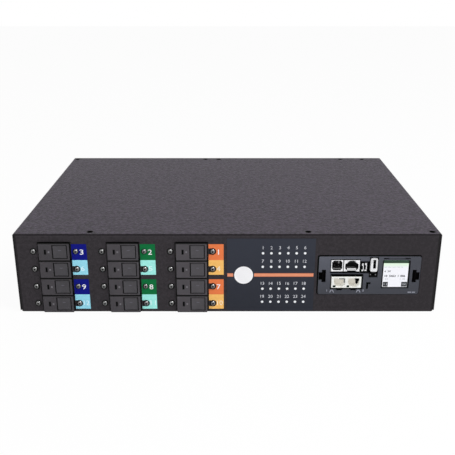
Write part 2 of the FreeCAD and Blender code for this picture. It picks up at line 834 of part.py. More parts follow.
def make_module_faceplate():
    """Moulded faceplate with port cut-outs, grip openings, bosses and the latch rails."""
    thick = module_thickness
    plate = rounded(port_box(0, 0, module_width, module_height, 0, thick), module_corner_radius, BACKWARD)
    jacks_left = module_x + sensor_jack_dx - sensor_jack_width / 2 - port_margin
    jacks_right = module_x + serial_jack_dx + serial_jack_width / 2 + port_margin
    usb_left = module_x + usb_dx - usb_width / 2 - port_margin
    usb_right = module_x + usb_dx + usb_width / 2 + port_margin
    jacks_low = jack_z - jack_height / 2 - port_margin_low
    side_port_top = module_z + side_port_dz + side_port_height / 2 + port_margin
    holes = [block(jacks_left, jacks_right, front, front + thick, jacks_low,
                   jack_z + jack_height / 2 + port_margin_top),
             block(jacks_right, usb_left, front, front + thick, jacks_low, side_port_top),
             block(usb_left, usb_right, front, front + thick,
                   module_z + contact_port_dz - contact_port_height / 2 - port_margin / 2,
                   module_z + usb_dz + usb_height / 2 + port_margin),
             port_box(network_dx, network_dz + (network_margin_top - port_margin) / 2, network_width,
                      network_height + network_margin_top - port_margin, 0, thick, port_margin),
             port_box(display_dx, display_dz, display_width, display_height, 0, thick, display_border)]
    notch_dz = network_dz - network_height / 2 - port_margin - network_notch_height / 2
    for side in (-1, 1):
        holes.append(port_box(network_dx + side * network_port_pitch / 2, notch_dz, network_notch_width,
                              network_notch_height + port_margin, 0, thick))
    slit_dz = display_dz + display_height / 2 + slit_rise
    for side in (-1, 1):
        slit_dx = display_dx + side * slit_spread / 2
        holes.append(port_box(slit_dx, slit_dz, slit_width, slit_height, 0, thick))
    holes.append(port_box(hook_slot_dx + hook_slot_stroke / 2, hook_slot_dz + hook_slot_long / 2,
                          hook_slot_stroke, hook_slot_long, 0, thick))
    holes.append(port_box(hook_slot_dx + hook_slot_short / 2,
                          hook_slot_dz + hook_slot_long - hook_slot_stroke / 2,
                          hook_slot_short, hook_slot_stroke, 0, thick))
    plate = plate.cut(holes + latch_openings())
    extras = []
    for side_x in (-1, 1):
        for side_z in (-1, 1):
            base = V(module_x + side_x * (module_width / 2 - boss_inset_x), front + thick,
                     module_z + side_z * (module_height / 2 - boss_inset_z))
            extras.append(round_bar(boss_radius, module_board_y - thick, base, BACKWARD))
        extras += latch_rails(side_x)
    return joined([plate] + extras)


def latch_rails(side):
    """Two hooked rails behind the faceplate that guide one latch."""
    inner = latch_plate_inner - latch_travel
    outer = grip_hole_inner + grip_hole_width
    middle = side * (inner + outer) / 2
    length = outer - inner
    slide_half = grip_hole_height / 2 + latch_gap
    hook_y = latch_back + latch_gap
    rails = []
    for up_or_down in (-1, 1):
        wall_dz = latch_dz + up_or_down * (slide_half + rail_thickness / 2)
        hook_dz = latch_dz + up_or_down * (slide_half - rail_hook / 2)
        rails.append(port_box(middle, wall_dz, length, rail_thickness, module_thickness,
                              hook_y + rail_thickness))
        rails.append(port_box(middle, hook_dz, length, rail_hook, hook_y, hook_y + rail_thickness))
    return rails


def make_latch(side):
    """Sliding latch: plate behind the faceplate, bolt behind the panel's edge, grip in the opening."""
    y0 = module_thickness + latch_gap
    outer = grip_hole_inner + grip_hole_width
    opening_edge = module_width / 2 + (opening_gap_left if side < 0 else opening_gap_right)
    tip = opening_edge + latch_bolt_reach
    plate = port_box(side * (latch_plate_inner + outer) / 2, latch_dz, outer - latch_plate_inner,
                     grip_hole_height, y0, latch_back)
    bolt = port_box(side * (outer + tip) / 2, latch_dz, tip - outer, latch_bolt_height, y0, latch_back)
    grip_x = side * (outer - latch_gap - latch_grip_width / 2)
    grip = port_box(grip_x, latch_dz, latch_grip_width, grip_hole_height - 2 * latch_gap,
                    latch_grip_recess, y0)
    return joined([plate, bolt, grip])


def plug_cavity(half_outline, x, z):
    """Plug cavity, its outline mirrored from the (x, z) points of its right half, bottom to top."""
    mirrored = [(-px, pz) for px, pz in reversed(half_outline)]
    places = [(x + px, z + pz) for px, pz in half_outline + mirrored]
    return front_prism(places, front - port_proud, front - port_proud + jack_port_depth)


def make_jacks():
    """Jacks and ports of the module, each with its plug cavity."""
    y0 = -port_proud
    y1 = module_board_y
    half = sensor_port_width / 2
    low = sensor_port_rise - sensor_port_height / 2
    high = sensor_port_rise + sensor_port_height / 2
    cut = sensor_port_corner
    octagon = [(half - cut, low), (half, low + cut), (half, high - cut), (half - cut, high)]
    sensor = port_box(sensor_jack_dx, jack_row_dz, sensor_jack_width, jack_height, y0, y1)
    sensor = sensor.cut(plug_cavity(octagon, module_x + sensor_jack_dx, jack_z))
    half = serial_port_width / 2
    key = serial_key_width / 2
    shoulder = (half + key) / 2
    high = serial_port_high
    cut = serial_port_corner
    stepped = [(half - cut, -serial_port_low), (half, cut - serial_port_low), (half, high - 2 * serial_step),
               (shoulder, high - 2 * serial_step), (shoulder, high - serial_step), (key, high - serial_step),
               (key, high)]
    serial = port_box(serial_jack_dx, jack_row_dz, serial_jack_width, jack_height, y0, y1)
    notch = port_box(serial_jack_dx, jack_row_dz - jack_height / 2 + serial_notch_height / 2,
                     serial_notch_width, serial_notch_height, y0, y0 + serial_notch_depth)
    serial = serial.cut([plug_cavity(stepped, module_x + serial_jack_dx, jack_z), notch])
    half = network_port_width / 2
    key = network_port_key_width / 2
    keyed = [(key, -network_port_key), (half, -network_port_shoulder), (half, network_port_reach)]
    network = port_box(network_dx, network_dz, network_width, network_height, y0, y1)
    for side in (-1, 1):
        x = module_x + network_dx + side * network_port_pitch / 2
        network = network.cut(plug_cavity(keyed, x, module_z + network_dz))
    return {"sensor_jack": sensor, "serial_jack": serial, "network_jacks": network,
            "usb_port": make_usb_port(), "auxiliary_ports": make_auxiliary_ports()}


def make_usb_port():
    """Upright port in a round-ended shell, with its contact tongue."""
    y0 = -2 * port_proud
    shell = rounded(port_box(usb_dx, usb_dz, usb_width, usb_height, y0, module_board_y),
                    usb_corner_radius, BACKWARD)
    mouth_dx = usb_dx - usb_width / 2 + usb_wall_left + usb_mouth_width / 2
    mouth_dz = usb_dz + usb_mouth_rise
    shell = shell.cut(port_box(mouth_dx, mouth_dz, usb_mouth_width, usb_mouth_height, y0, jack_port_depth))
    tongue_dx = mouth_dx - usb_mouth_width / 2 + usb_tongue_width / 2
    tongue = port_box(tongue_dx, mouth_dz, usb_tongue_width, usb_mouth_height, 0, jack_port_depth)
    return joined([shell, tongue])


def make_auxiliary_ports():
    """Small upright side port and the flat contact port under the upright port."""
    side_port = port_box(side_port_dx, side_port_dz, side_port_width, side_port_height, 0, module_board_y)
    side_port = side_port.cut(port_box(side_port_dx, side_port_dz, side_port_width * 0.5,
                                       side_port_height * 0.7, 0, port_margin * 4))
    contact = port_box(contact_port_dx, contact_port_dz, contact_port_width, contact_port_height, 0,
                       module_board_y)
    contact = contact.cut(port_box(contact_port_dx, contact_port_dz, contact_port_width * 0.7,
                                   contact_port_height * 0.4, 0, port_margin * 4))
    return group([side_port, contact])


def make_display():
    """Flat display whose lit face stands in the faceplate's window."""
    glass = port_box(display_dx, display_dz, display_width, display_height, port_proud, module_thickness,
                     display_border / 2)
    frame = port_box(display_dx, display_dz, display_width, display_height, module_thickness,
                     module_thickness + display_thickness, display_rim)
    return joined([glass, frame])


def make_module():
    """Faceplate, board, ports, display and latches."""
    nodes = {"module_faceplate": make_module_faceplate()}
    nodes["module_board"] = port_box(0, 0, module_width - 2 * module_board_margin,
                                     module_height - 2 * module_board_margin,
                                     module_board_y, module_board_y + board_thickness)
    nodes.update(make_jacks())
    nodes["lcd_display"] = make_display()
    nodes["latch_left"] = make_latch(-1)
    nodes["latch_right"] = make_latch(1)
    return nodes


def make_module_bay():
    """Open-fronted sheet box welded behind the opening, wide enough for the latch bolts."""
    left = opening_left - latch_bolt_reach - bay_side_room
    right = opening_right + latch_bolt_reach + bay_side_room
    low = opening_low - bay_end_room
    high = opening_high + bay_end_room
    start = front + sheet
    outside = block(left, right, start, start + bay_depth, low, high)
    inside = block(left + bay_sheet, right - bay_sheet, start, start + bay_depth - bay_sheet,
                   low + bay_sheet, high - bay_sheet)
    return outside.cut(inside)


def outlet_outline(width, height, corner, x, z, margin):
    """Outlet contour with its two cut corners on the earth side, shrunk by a margin."""
    half_w = width / 2 - margin
    half_h = height / 2 - margin
    cut = corner - margin * 0.6
    return [(x - half_w, z - half_h), (x + half_w - cut, z - half_h), (x + half_w, z - half_h + cut),
            (x + half_w, z + half_h - cut), (x + half_w - cut, z + half_h), (x - half_w, z + half_h)]


def outlet_cuts(x, z):
    """Moat round the tongue of one outlet, and its three pin slots."""
    face = back + bank_flange
    outer = front_prism(outlet_outline(outlet_width, outlet_height, outlet_corner, x, z, 0),
                        face - outlet_depth, face)
    tongue = front_prism(outlet_outline(outlet_width, outlet_height, outlet_corner, x, z, outlet_moat),
                         face - outlet_depth, face)
    cuts = [outer.cut(tongue)]
    for dx, dz in ((pin_offset, 0), (-pin_offset, -pin_spread / 2), (-pin_offset, pin_spread / 2)):
        cuts.append(block(x + dx - pin_slot_long / 2, x + dx + pin_slot_long / 2, face - pin_slot_depth, face,
                          z + dz - pin_slot_short / 2, z + dz + pin_slot_short / 2))
    return cuts


def make_outlet_bank(left, z):
    """Ganged outlet moulding: flange outside the back panel, body through it."""
    flange = block(left, left + bank_width, back, back + bank_flange,
                   z - bank_height / 2, z + bank_height / 2)
    inset = bank_flange_margin
    body = block(left + inset, left + bank_width - inset, back - bank_body_depth, back,
                 z - bank_height / 2 + inset, z + bank_height / 2 - inset)
    first = left + bank_width / 2 - (outlets_per_bank - 1) * outlet_pitch / 2
    cuts = []
    for step in range(outlets_per_bank):
        cuts += outlet_cuts(first + step * outlet_pitch, z)
    return joined([flange, body]).cut(cuts)


def make_gland():
    """Supply gland: body through the panel, rubber seal, dome nut outside and locknut inside."""
    axis_inside = V(gland_x, back - sheet, gland_z)
    axis_outside = V(gland_x, back, gland_z)
    thread_end = gland_flange + gland_outer_length
    seat_radius = gland_thread_radius - gland_wall
    seat = thread_end - gland_seat_depth
    stub = -sheet - gland_inner_length
    profile = [(gland_bore_radius, stub), (gland_thread_radius, stub), (gland_thread_radius, thread_end),
               (seat_radius, thread_end), (seat_radius, seat), (gland_bore_radius, seat)]
    bore = round_bar(gland_bore_radius, gland_flange, axis_outside, BACKWARD)
    flange = hexagon(gland_across_flats, gland_flange, axis_outside, BACKWARD).cut(bore)
    body = joined([turned(profile, axis_outside, BACKWARD), flange])
    seal = turned([(seal_bore_radius, seat), (seat_radius - gland_fit, seat),
                   (seat_radius - gland_fit, seat + seal_length), (seal_bore_radius, seat + seal_length)],
                  axis_outside, BACKWARD)
    start = gland_flange + dome_gap
    end = gland_flange + dome_length
    thread = gland_thread_radius + gland_fit
    dome = turned([(thread, start), (dome_radius, start), (dome_radius, start + dome_shoulder),
                   (gland_bore_radius + gland_wall, end), (gland_bore_radius, end),
                   (gland_bore_radius, seat + seal_length + gland_fit),
                   (thread, seat + seal_length + gland_fit)], axis_outside, BACKWARD)
    nut = hexagon(gland_across_flats, locknut_thickness, axis_inside, BACKWARD * -1)
    nut = nut.cut(round_bar(gland_thread_radius + gland_fit, locknut_thickness, axis_inside, BACKWARD * -1))
    return {"gland_body": body, "gland_seal": seal, "gland_dome_nut": dome, "gland_locknut": nut}


def make_earth_stud():
    """Stud with its head inside the panel, a washer and a nut outside, and a turned free end."""
    inside = V(earth_x, back - sheet, earth_z)
    outside = V(earth_x, back, earth_z)
    step = sheet + earth_washer_thickness + earth_nut_thickness + earth_step_gap
    tip = sheet + earth_length
    stud = turned([(0, -earth_head_thickness), (earth_head_radius, -earth_head_thickness),
                   (earth_head_radius, 0), (earth_radius, 0), (earth_radius, step), (earth_end_radius, step),
                   (earth_end_radius, tip - earth_tip_chamfer),
                   (earth_end_radius - earth_tip_chamfer, tip), (0, tip)], inside, BACKWARD)
    clear = earth_radius + screw_fit
    washer = round_bar(earth_washer_radius, earth_washer_thickness, outside, BACKWARD)
    washer = washer.cut(round_bar(clear, earth_washer_thickness, outside, BACKWARD))
    seat = outside + BACKWARD * earth_washer_thickness
    nut = hexagon(earth_nut_across_flats, earth_nut_thickness, seat, BACKWARD)
    nut = nut.cut(round_bar(clear, earth_nut_thickness, seat, BACKWARD))
    return group([stud, washer, nut])


def make_terminal_block():
    """Supply terminal block on the floor, with one well for each wire."""
    width, depth, height = terminal_block_size
    x = left_edge + terminal_block_edge_margin
    y = back - terminal_block_back_gap - depth
    solid = block(x, x + width, y, y + depth, sheet, sheet + height)
    pitch = width / terminal_ways
    wells = []
    for way in range(terminal_ways):
        middle = x + (way + 0.5) * pitch
        wells.append(block(middle - terminal_way_width / 2, middle + terminal_way_width / 2,
                           y + depth - terminal_way_depth, y + depth,
                           sheet + height - terminal_way_depth, sheet + height))
    return solid.cut(wells)


def make_metering():
    """Metering board with a current sensor for each outlet, and the power supply on it."""
    low = sheet + standoff_height
    top = low + board_thickness
    parts = [block(metering_board_left, metering_board_right, metering_board_front, metering_board_back,
                   low, top)]
    width, depth, height = sensor_size
    for inset in sensor_back_insets:
        y = metering_board_back - inset
        for step in range(sensors_in_row):
            x = metering_board_left + sensor_first_inset + step * outlet_pitch
            parts.append(block(x, x + width, y, y + depth, top, top + height))
    supply_width, supply_depth, supply_height = supply_size
    x = metering_board_right - supply_inset_x - supply_width
    y = metering_board_front + supply_inset_y
    supply = block(x, x + supply_width, y, y + supply_depth, top, top + supply_height)
    return {"metering_board": joined(parts), "power_supply": supply}


def make_standoffs():
    """Posts under the metering board and behind the LED board."""
    posts = []
    inset = 2 * standoff_radius
    for x in (metering_board_left + inset, metering_board_right - inset):
        for y in (metering_board_front + inset, metering_board_back - inset):
            posts.append(round_bar(standoff_radius, standoff_height, V(x, y, sheet), UP))
    edge = (light_web_margin + led_board_margin) / 2
    radius = (led_board_margin - light_web_margin) / 2
    for x in (light_first_x - edge, light_right_x + edge):
        for z in (light_low_z - edge, light_high_z + edge):
            posts.append(round_bar(radius, led_board_y - sheet, V(x, front + sheet, z), BACKWARD))
    return group(posts)


def make_outlet_banks():
    """Four banks, named by their place seen from the back."""
    nodes = {}
    for row, z in zip(("lower", "upper"), bank_rows):
        for side, left in zip(("right", "left"), bank_lefts):
            nodes["outlet_bank_%s_%s" % (row, side)] = make_outlet_bank(left, z)
    return nodes


def all_nodes():
    """Every node of the unit by its name."""
    nodes = {
        "base_tray": make_base_tray(),
        "top_cover": make_top_cover(),
        "cover_screws": make_cover_screws(),
        "busbars": make_busbars(),
        "overlay_panel": make_overlay(),
        "light_pipes": make_light_pipes(),
        "led_board": make_led_board(),
        "module_bay": make_module_bay(),
        "earth_stud": make_earth_stud(),
        "terminal_block": make_terminal_block(),
        "standoffs": make_standoffs(),
    }
    for more in (make_breakers(), make_module(), make_outlet_banks(), make_gland(), make_metering()):
        nodes.update(more)
    return nodes


os.makedirs("parts", exist_ok=True)
for name, shape in all_nodes().items():
    shape.exportStep("parts/%s.step" % name)
    print(name, len(shape.Solids), round(shape.Volume, 1), shape.isValid())
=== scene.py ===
import functools
import math

import bmesh
import bpy
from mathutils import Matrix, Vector


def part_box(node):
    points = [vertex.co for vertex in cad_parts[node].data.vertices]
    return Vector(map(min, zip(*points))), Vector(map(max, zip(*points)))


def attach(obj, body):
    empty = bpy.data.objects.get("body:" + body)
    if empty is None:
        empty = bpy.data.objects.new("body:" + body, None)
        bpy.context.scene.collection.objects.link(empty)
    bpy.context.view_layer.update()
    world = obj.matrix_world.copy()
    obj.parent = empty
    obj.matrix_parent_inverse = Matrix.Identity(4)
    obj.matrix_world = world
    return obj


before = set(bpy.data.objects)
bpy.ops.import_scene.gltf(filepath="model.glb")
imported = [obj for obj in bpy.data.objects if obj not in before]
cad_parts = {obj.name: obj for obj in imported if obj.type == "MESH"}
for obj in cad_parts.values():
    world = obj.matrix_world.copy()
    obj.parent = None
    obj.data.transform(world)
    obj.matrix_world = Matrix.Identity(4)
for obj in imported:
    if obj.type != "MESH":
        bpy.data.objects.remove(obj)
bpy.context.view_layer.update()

bl_info = {
    "name": "Rack power distribution unit",
    "version": (1, 0, 0),
    "blender": (4, 5, 0),
    "location": "3D View > Sidebar > Rack unit",
    "description": "Finishes, prints and small parts of a rack power distribution unit, and its stage",
    "category": "Object",
}

MM = 0.001
BODY = "chassis"
ROWS = 4
COLUMNS = 3
PRINT_THICKNESS = 0.03 * MM
PRINT_SINK = 0.01 * MM
MERGE_DISTANCE = 0.0005 * MM
# Black painted where shade falls: in gaps, recesses, along shaded edges and behind openings.
SHADE_BLACK = (0.003, 0.003, 0.003)
# Black painted in the jacks' cavities and mouths, as their shade.
CAVITY_SHADE_BLACK = (0.012, 0.012, 0.013)
SHADE_FADE = 1.0 * MM
LABEL_NODES = ("labels_blue", "labels_green", "labels_orange")

# Places read from the frame
tray_low, tray_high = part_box("base_tray")
FRONT = tray_low.y
BACK = tray_high.y
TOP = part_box("top_cover")[1].z
HALF_WIDTH = tray_high.x
overlay_low, overlay_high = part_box("overlay_panel")
faceplate_low, faceplate_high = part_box("module_faceplate")


def tone(red, green, blue):
    """Linear colour of a colour given as it looks on a screen, from 0 to 255."""
    linear = []
    for level in (red, green, blue):
        share = level / 255
        linear.append(share / 12.92 if share <= 0.04045 else ((share + 0.055) / 1.055) ** 2.4)
    return tuple(linear)


def colour_property(name, description, default):
    """Colour that a user can change in the panel."""
    return bpy.props.FloatVectorProperty(name=name, description=description, default=default, size=3,
                                         min=0.0, max=1.0, subtype="COLOR")


def length_property(name, description, default):
    """Length that a user can change in the panel."""
    return bpy.props.FloatProperty(name=name, description=description, default=default, unit="LENGTH",
                                   precision=5)


def share_property(name, description, default):
    """Share from 0 to 1 that a user can change in the panel."""
    return bpy.props.FloatProperty(name=name, description=description, default=default, min=0.0, max=1.0,
                                   subtype="FACTOR")


class RackUnitFinishes(bpy.types.PropertyGroup):
    """Colours of the unit's surfaces."""
    paint: colour_property("Case paint", "Powder coat of the tray and the cover", tone(46, 42, 46))
    breaker: colour_property("Breaker", "Moulded breaker cases", tone(62, 59, 63))
    rocker: colour_property("Rocker", "Moulded breaker rockers", tone(66, 64, 68))
    overlay: colour_property("Overlay", "Printed graphic panel", tone(46, 49, 59))
    faceplate: colour_property("Faceplate", "Monitoring module's faceplate", tone(66, 68, 76))
    blue_dark: colour_property("Dark blue", "Upper field of the left labels", tone(0, 10, 124))
    blue_light: colour_property("Light blue", "Lower field of the left labels", tone(153, 223, 243))
    green_dark: colour_property("Dark green", "Upper field of the middle labels", tone(0, 108, 56))
    green_light: colour_property("Light green", "Lower field of the middle labels", tone(164, 243, 234))
    orange_dark: colour_property("Dark orange", "Upper field of the right labels", tone(231, 123, 72))
    orange_light: colour_property("Light orange", "Lower field of the right labels", tone(249, 193, 108))
    stripe: colour_property("Stripe", "Stripe across the graphic panel", tone(228, 146, 112))
    print_white: colour_property("White print", "Figures and the disc", (0.9, 0.9, 0.92))
    silver: colour_property("Silver", "Dark plated screws", (0.22, 0.22, 0.22))


class RackUnitSizes(bpy.types.PropertyGroup):
    """Sizes of the prints and small parts."""
    label_digit: length_property("Label figure", "Height of the breaker numbers", 5.7 * MM)
    label_digit_x: length_property("Figure offset", "From the label's left edge to the figure", 10.2 * MM)
    light_digit: length_property("Light figure", "Height of the outlet numbers", 3.4 * MM)
    disc_radius: length_property("Disc", "Radius of the plain disc on the stripe", 9.8 * MM)
    stripe_height: length_property("Stripe", "Height of the stripe", 4.4 * MM)
    grain: length_property("Paint grain", "Size of the powder coat's grain", 1.1 * MM)
    wire: length_property("Contact wire", "Thickness of a jack's contact", 0.42 * MM)


class RackUnitStage(bpy.types.PropertyGroup):
    """Camera and lamps."""
    camera_x: length_property("Camera X", "Camera's place across", 0.276 * MM)
    camera_y: length_property("Camera Y", "Camera's place from front to back", FRONT - 661.73 * MM)
    camera_z: length_property("Camera Z", "Camera's height", 339.62 * MM)
    pitch: bpy.props.FloatProperty(name="Pitch", description="Downward tilt of the camera",
                                   default=math.radians(20.2266), subtype="ANGLE")
    lens: bpy.props.FloatProperty(name="Lens", description="Focal length on a 36 mm wide sensor",
                                  default=54.857, unit="CAMERA")
    key_power: bpy.props.FloatProperty(name="Key lamp", description="Power of the lamp at the upper right",
                                       default=20.0, unit="POWER")
    fill_power: bpy.props.FloatProperty(name="Fill lamp", description="Power of the lamp in front",
                                        default=7.0, unit="POWER")
    room_light: share_property("Room light", "Even light from all sides", 0.45)


class Field:
    """Number that varies over a surface. Python operators on it add Math nodes."""

    def __init__(self, graph, socket):
        self.graph = graph
        self.socket = socket

    def combined(self, operation, first, second):
        """Result of a Math node on two values."""
        node = self.graph.node("ShaderNodeMath", {"operation": operation}, {0: first, 1: second})
        return Field(self.graph, node.outputs[0])

    def __add__(self, other):
        return self.combined("ADD", self, other)

    def __radd__(self, other):
        return self.combined("ADD", other, self)

    def __sub__(self, other):
        return self.combined("SUBTRACT", self, other)

    def __rsub__(self, other):
        return self.combined("SUBTRACT", other, self)

    def __mul__(self, other):
        return self.combined("MULTIPLY", self, other)

    def __gt__(self, other):
        return self.combined("GREATER_THAN", self, other)

    def __lt__(self, other):
        return self.combined("LESS_THAN", self, other)

    def greater(self, other):
        """The greater of two values."""
        return self.combined("MAXIMUM", self, other)

    def from_nearest(self, first, pitch):
        """Distance to the nearest place of an endless row of places."""
        offset = self - first
        return offset.combined("PINGPONG", offset, pitch / 2)

    def ramp(self, low, high, start=0.0, end=1.0):
        """Smooth rise from start to end while the value goes from low to high."""
        node = self.graph.node("ShaderNodeMapRange", {"interpolation_type": "SMOOTHSTEP"},
                               {"Value": self, "From Min": low, "From Max": high, "To Min": start,
                                "To Max": end})
        return Field(self.graph, node.outputs[0])

    def squared_ramp(self, low, high):
        """Rise of a squared distance while the distance goes from low to high."""
        return self.ramp(low ** 2, high ** 2)


class Graph:
    """Node tree of a material or of a Geometry Nodes group."""

    def __init__(self, tree):
        self.tree = tree

    def socket(self, sockets, key):
        """Socket by its index, identifier or name."""
        if isinstance(key, int):
            return sockets[key]
        for socket in sockets:
            if socket.identifier == key:
                return socket
        return sockets[key]

    def node(self, kind, settings=None, inputs=None):
        """Adds a node, with its settings first and then the values or links of its sockets."""
        node = self.tree.nodes.new(kind)
        for name, value in (settings or {}).items():
            setattr(node, name, value)
        for key, value in (inputs or {}).items():
            socket = self.socket(node.inputs, key)
            if isinstance(value, Field):
                self.tree.links.new(value.socket, socket)
            elif isinstance(value, bpy.types.NodeSocket):
                self.tree.links.new(value, socket)
            else:
                socket.default_value = value
        return node


class Finish(Graph):
    """Material with one Principled shader, whose patterns read Object coordinates."""

    def __init__(self, name, roughness=0.5, gloss=0.5, **constants):
        self.material = bpy.data.materials.new(name)
        self.material.use_nodes = True
        super().__init__(self.material.node_tree)
        self.tree.nodes.clear()
        self.shader = self.node("ShaderNodeBsdfPrincipled", None,
                                {"Roughness": roughness, "Specular IOR Level": gloss, **constants})
        self.node("ShaderNodeOutputMaterial", None, {"Surface": self.shader.outputs[0]})
        self.place = self.node("ShaderNodeTexCoord").outputs["Object"]
        axes = self.node("ShaderNodeSeparateXYZ", None, {0: self.place})
        self.x, self.y, self.z = (Field(self, socket) for socket in axes.outputs)

    def noise(self, size, detail=2.0, stretch=(1.0, 1.0, 1.0)):
        """Cloudy pattern with features of about a size, wider where stretch is over 1."""
        scale = tuple(1.0 / (size * share) for share in stretch)
        mapping = self.node("ShaderNodeMapping", None, {"Vector": self.place, "Scale": scale})
        node = self.node("ShaderNodeTexNoise", None,
                         {"Vector": mapping.outputs[0], "Scale": 1.0, "Detail": detail, "Roughness": 0.6})
        return Field(self, node.outputs["Fac"])

    def specks(self, size):
        """Distance to the nearest of many random points about a size apart."""
        node = self.node("ShaderNodeTexVoronoi", None, {"Vector": self.place, "Scale": 1.0 / size})
        return Field(self, node.outputs["Distance"])

    def mix(self, share, first, second):
        """Colour between two colours by a varying share."""
        sockets = {"Factor_Float": share}
        for key, colour in (("A_Color", first), ("B_Color", second)):
            sockets[key] = colour if isinstance(colour, bpy.types.NodeSocket) else (*colour, 1.0)
        node = self.node("ShaderNodeMix", {"data_type": "RGBA"}, sockets)
        return self.socket(node.outputs, "Result_Color")

    def colour(self, value):
        """Sets or links the base colour."""
        socket = self.shader.inputs["Base Color"]
        if isinstance(value, bpy.types.NodeSocket):
            self.tree.links.new(value, socket)
        else:
            socket.default_value = (*value, 1.0)
        return self

    def varied(self, base, share, amount=0.12):
        """Base colour that drifts a little lighter and darker with a pattern."""
        return self.colour(self.mix(share, shaded(base, 1 - amount), shaded(base, 1 + amount)))

    def rough(self, value):
        """Links a varying roughness."""
        self.tree.links.new(value.socket, self.shader.inputs["Roughness"])
        return self

    def glow(self, value):
        """Links a varying colour of emitted light."""
        self.tree.links.new(value, self.shader.inputs["Emission Color"])
        self.shader.inputs["Emission Strength"].default_value = 1.0
        return self

    def clouded(self, cloud, first, second):
        """Colour that drifts between two colours with a cloudy pattern."""
        return self.mix(cloud.ramp(0.3, 0.7), first, second)

    def bump(self, height, depth, strength=0.5):
        """Raises the surface by a pattern."""
        node = self.node("ShaderNodeBump", None, {"Height": height, "Distance": depth, "Strength": strength})
        self.tree.links.new(node.outputs[0], self.shader.inputs["Normal"])
        return self


def finishes():
    """User's colours."""
    return bpy.context.scene.rack_unit_finishes


def sizes():
    """User's sizes."""
    return bpy.context.scene.rack_unit_sizes


def known_material(name, make, *settings, **named_settings):
    """The material of a name, made the first time that it is asked for."""
    return bpy.data.materials.get(name) or make(name, *settings, **named_settings).material


def shaded(colour, share):
    """Darker or lighter version of a colour."""
    return tuple(min(1.0, level * share) for level in colour)


def box_middle(node):
    """Middle of a CAD node's box."""
    low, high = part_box(node)
    return tuple((start + end) / 2 for start, end in zip(low, high))


def full_turn(steps):
    """Evenly spaced angles once round a circle."""
    return [2 * math.pi * step / steps for step in range(steps)]


def span_from(start, span):
    """Both ends of a span that is given from a start."""
    return start + span[0], start + span[1]


def print_skin(face):
    """Front and back depth of a printed film on a face."""
    return face - PRINT_THICKNESS + PRINT_SINK, face + PRINT_SINK


def solid_middles(node):
    """Middle of the box of each separate solid of a CAD node."""
    form = bmesh.new()
    form.from_mesh(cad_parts[node].data)
    bmesh.ops.remove_doubles(form, verts=form.verts, dist=MERGE_DISTANCE)
    waiting = set(form.verts)
    middles = []
    while waiting:
        solid = [waiting.pop()]
        for vertex in solid:
            for edge in vertex.link_edges:
                other = edge.other_vert(vertex)
                if other in waiting:
                    waiting.discard(other)
                    solid.append(other)
        spans = [[vertex.co[axis] for vertex in solid] for axis in range(3)]
        middles.append(tuple((min(span) + max(span)) / 2 for span in spans))
    form.free()
    return sorted(middles)


def breaker_grid():
    """Middle of the first column, pitch of the columns, lowest row and pitch of the rows."""
    first_low, first_high = breaker_box(breaker_number(ROWS - 1, 0))
    last_low, _ = breaker_box(breaker_number(0, COLUMNS - 1))
    column = (first_low.x + first_high.x) / 2
    column_pitch = (last_low.x - first_low.x) / (COLUMNS - 1)
    low_row = breaker_height(ROWS - 1)
    row_pitch = (breaker_height(0) - low_row) / (ROWS - 1)
    return column, column_pitch, low_row, row_pitch


def screw_distance(finish):
    """Distance squared, across the front, to the axis of the nearest breaker screw."""
    column, column_pitch, _, row_pitch = breaker_grid()
    screws = solid_middles("breaker_screws")
    across = finish.x.from_nearest(column, column_pitch) - (column - screws[0][0])
    upward = finish.z.from_nearest(screws[0][2], row_pitch)
    return across * across + upward * upward


def breaker_shade(finish, start, depth, edge, hidden=0.0, slot=None):
    """Share of painted shade, in black, on a part that every breaker has: behind a depth, along its edges and
    round its slot.

    hidden is what the part's box holds above and below the face that shows.
    """
    column, column_pitch, low_row, row_pitch = breaker_grid()
    node = start + "%02d" % breaker_number(0, 0)
    low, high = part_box(node)
    x, _, z = box_middle(node)
    shade = finish.y.ramp(depth, depth + SHADE_FADE)
    shade = shade.greater(finish.x.from_nearest(x, column_pitch) > (high.x - low.x) / 2 - edge)
    shade = shade.greater(finish.z.from_nearest(z, row_pitch) > (high.z - low.z) / 2 - hidden - edge)
    if slot is not None:
        upward = finish.z.from_nearest(low_row, row_pitch)
        offset, width, height = slot
        beside = finish.x.from_nearest(column + offset, column_pitch)
        shade = shade.greater((beside < width / 2) * (upward < height / 2))
    return shade


def moulded(name, base, roughness=0.5, grain=0.35 * MM, gloss=0.25, shade=None, lift=0.0):
    """Moulded plastic with a spark-eroded grain and slight clouding.

    shade gives its share of painted shade, in black; the painted light share is how much lighter the last
    breaker column is painted, as light that falls there.
    """
    finish = Finish(name, roughness, gloss)
    fine = finish.noise(grain, 2.0)
    cloud = finish.noise(14 * MM, 2.0)
    share = cloud.ramp(0.3, 0.7) * 0.6 + fine * 0.4
    plain = finish.mix(share, shaded(base, 0.9), shaded(base, 1.1))
    # Painted light: lighter towards the last breaker column.
    if lift:
        column, column_pitch, *_ = breaker_grid()
        lighter = finish.mix(share, shaded(base, 0.9 * (1 + lift)), shaded(base, 1.1 * (1 + lift)))
        plain = finish.mix(finish.x.ramp(column, column + (COLUMNS - 1) * column_pitch), plain, lighter)
    # Painted shade: black by the shade's share.
    if shade is not None:
        plain = finish.mix(shade(finish), plain, SHADE_BLACK)
    finish.colour(plain)
    finish.rough(cloud.ramp(0.3, 0.7, roughness - 0.05, roughness + 0.06))
    return finish.bump(fine, 0.03 * MM, 0.4)


def plated(name, base, roughness=0.3, scratch=0.5 * MM):
    """Plated metal with fine scratches and duller patches."""
    finish = Finish(name, roughness, Metallic=1.0)
    lines = finish.noise(scratch, 3.0, (5.0, 1.0, 1.0))
    cloud = finish.noise(4 * MM, 2.0)
    finish.varied(base, cloud.ramp(0.3, 0.7), 0.1)
    finish.rough(lines.ramp(0.3, 0.7, roughness - 0.08, roughness + 0.12))
    return finish.bump(lines, 0.01 * MM, 0.3)


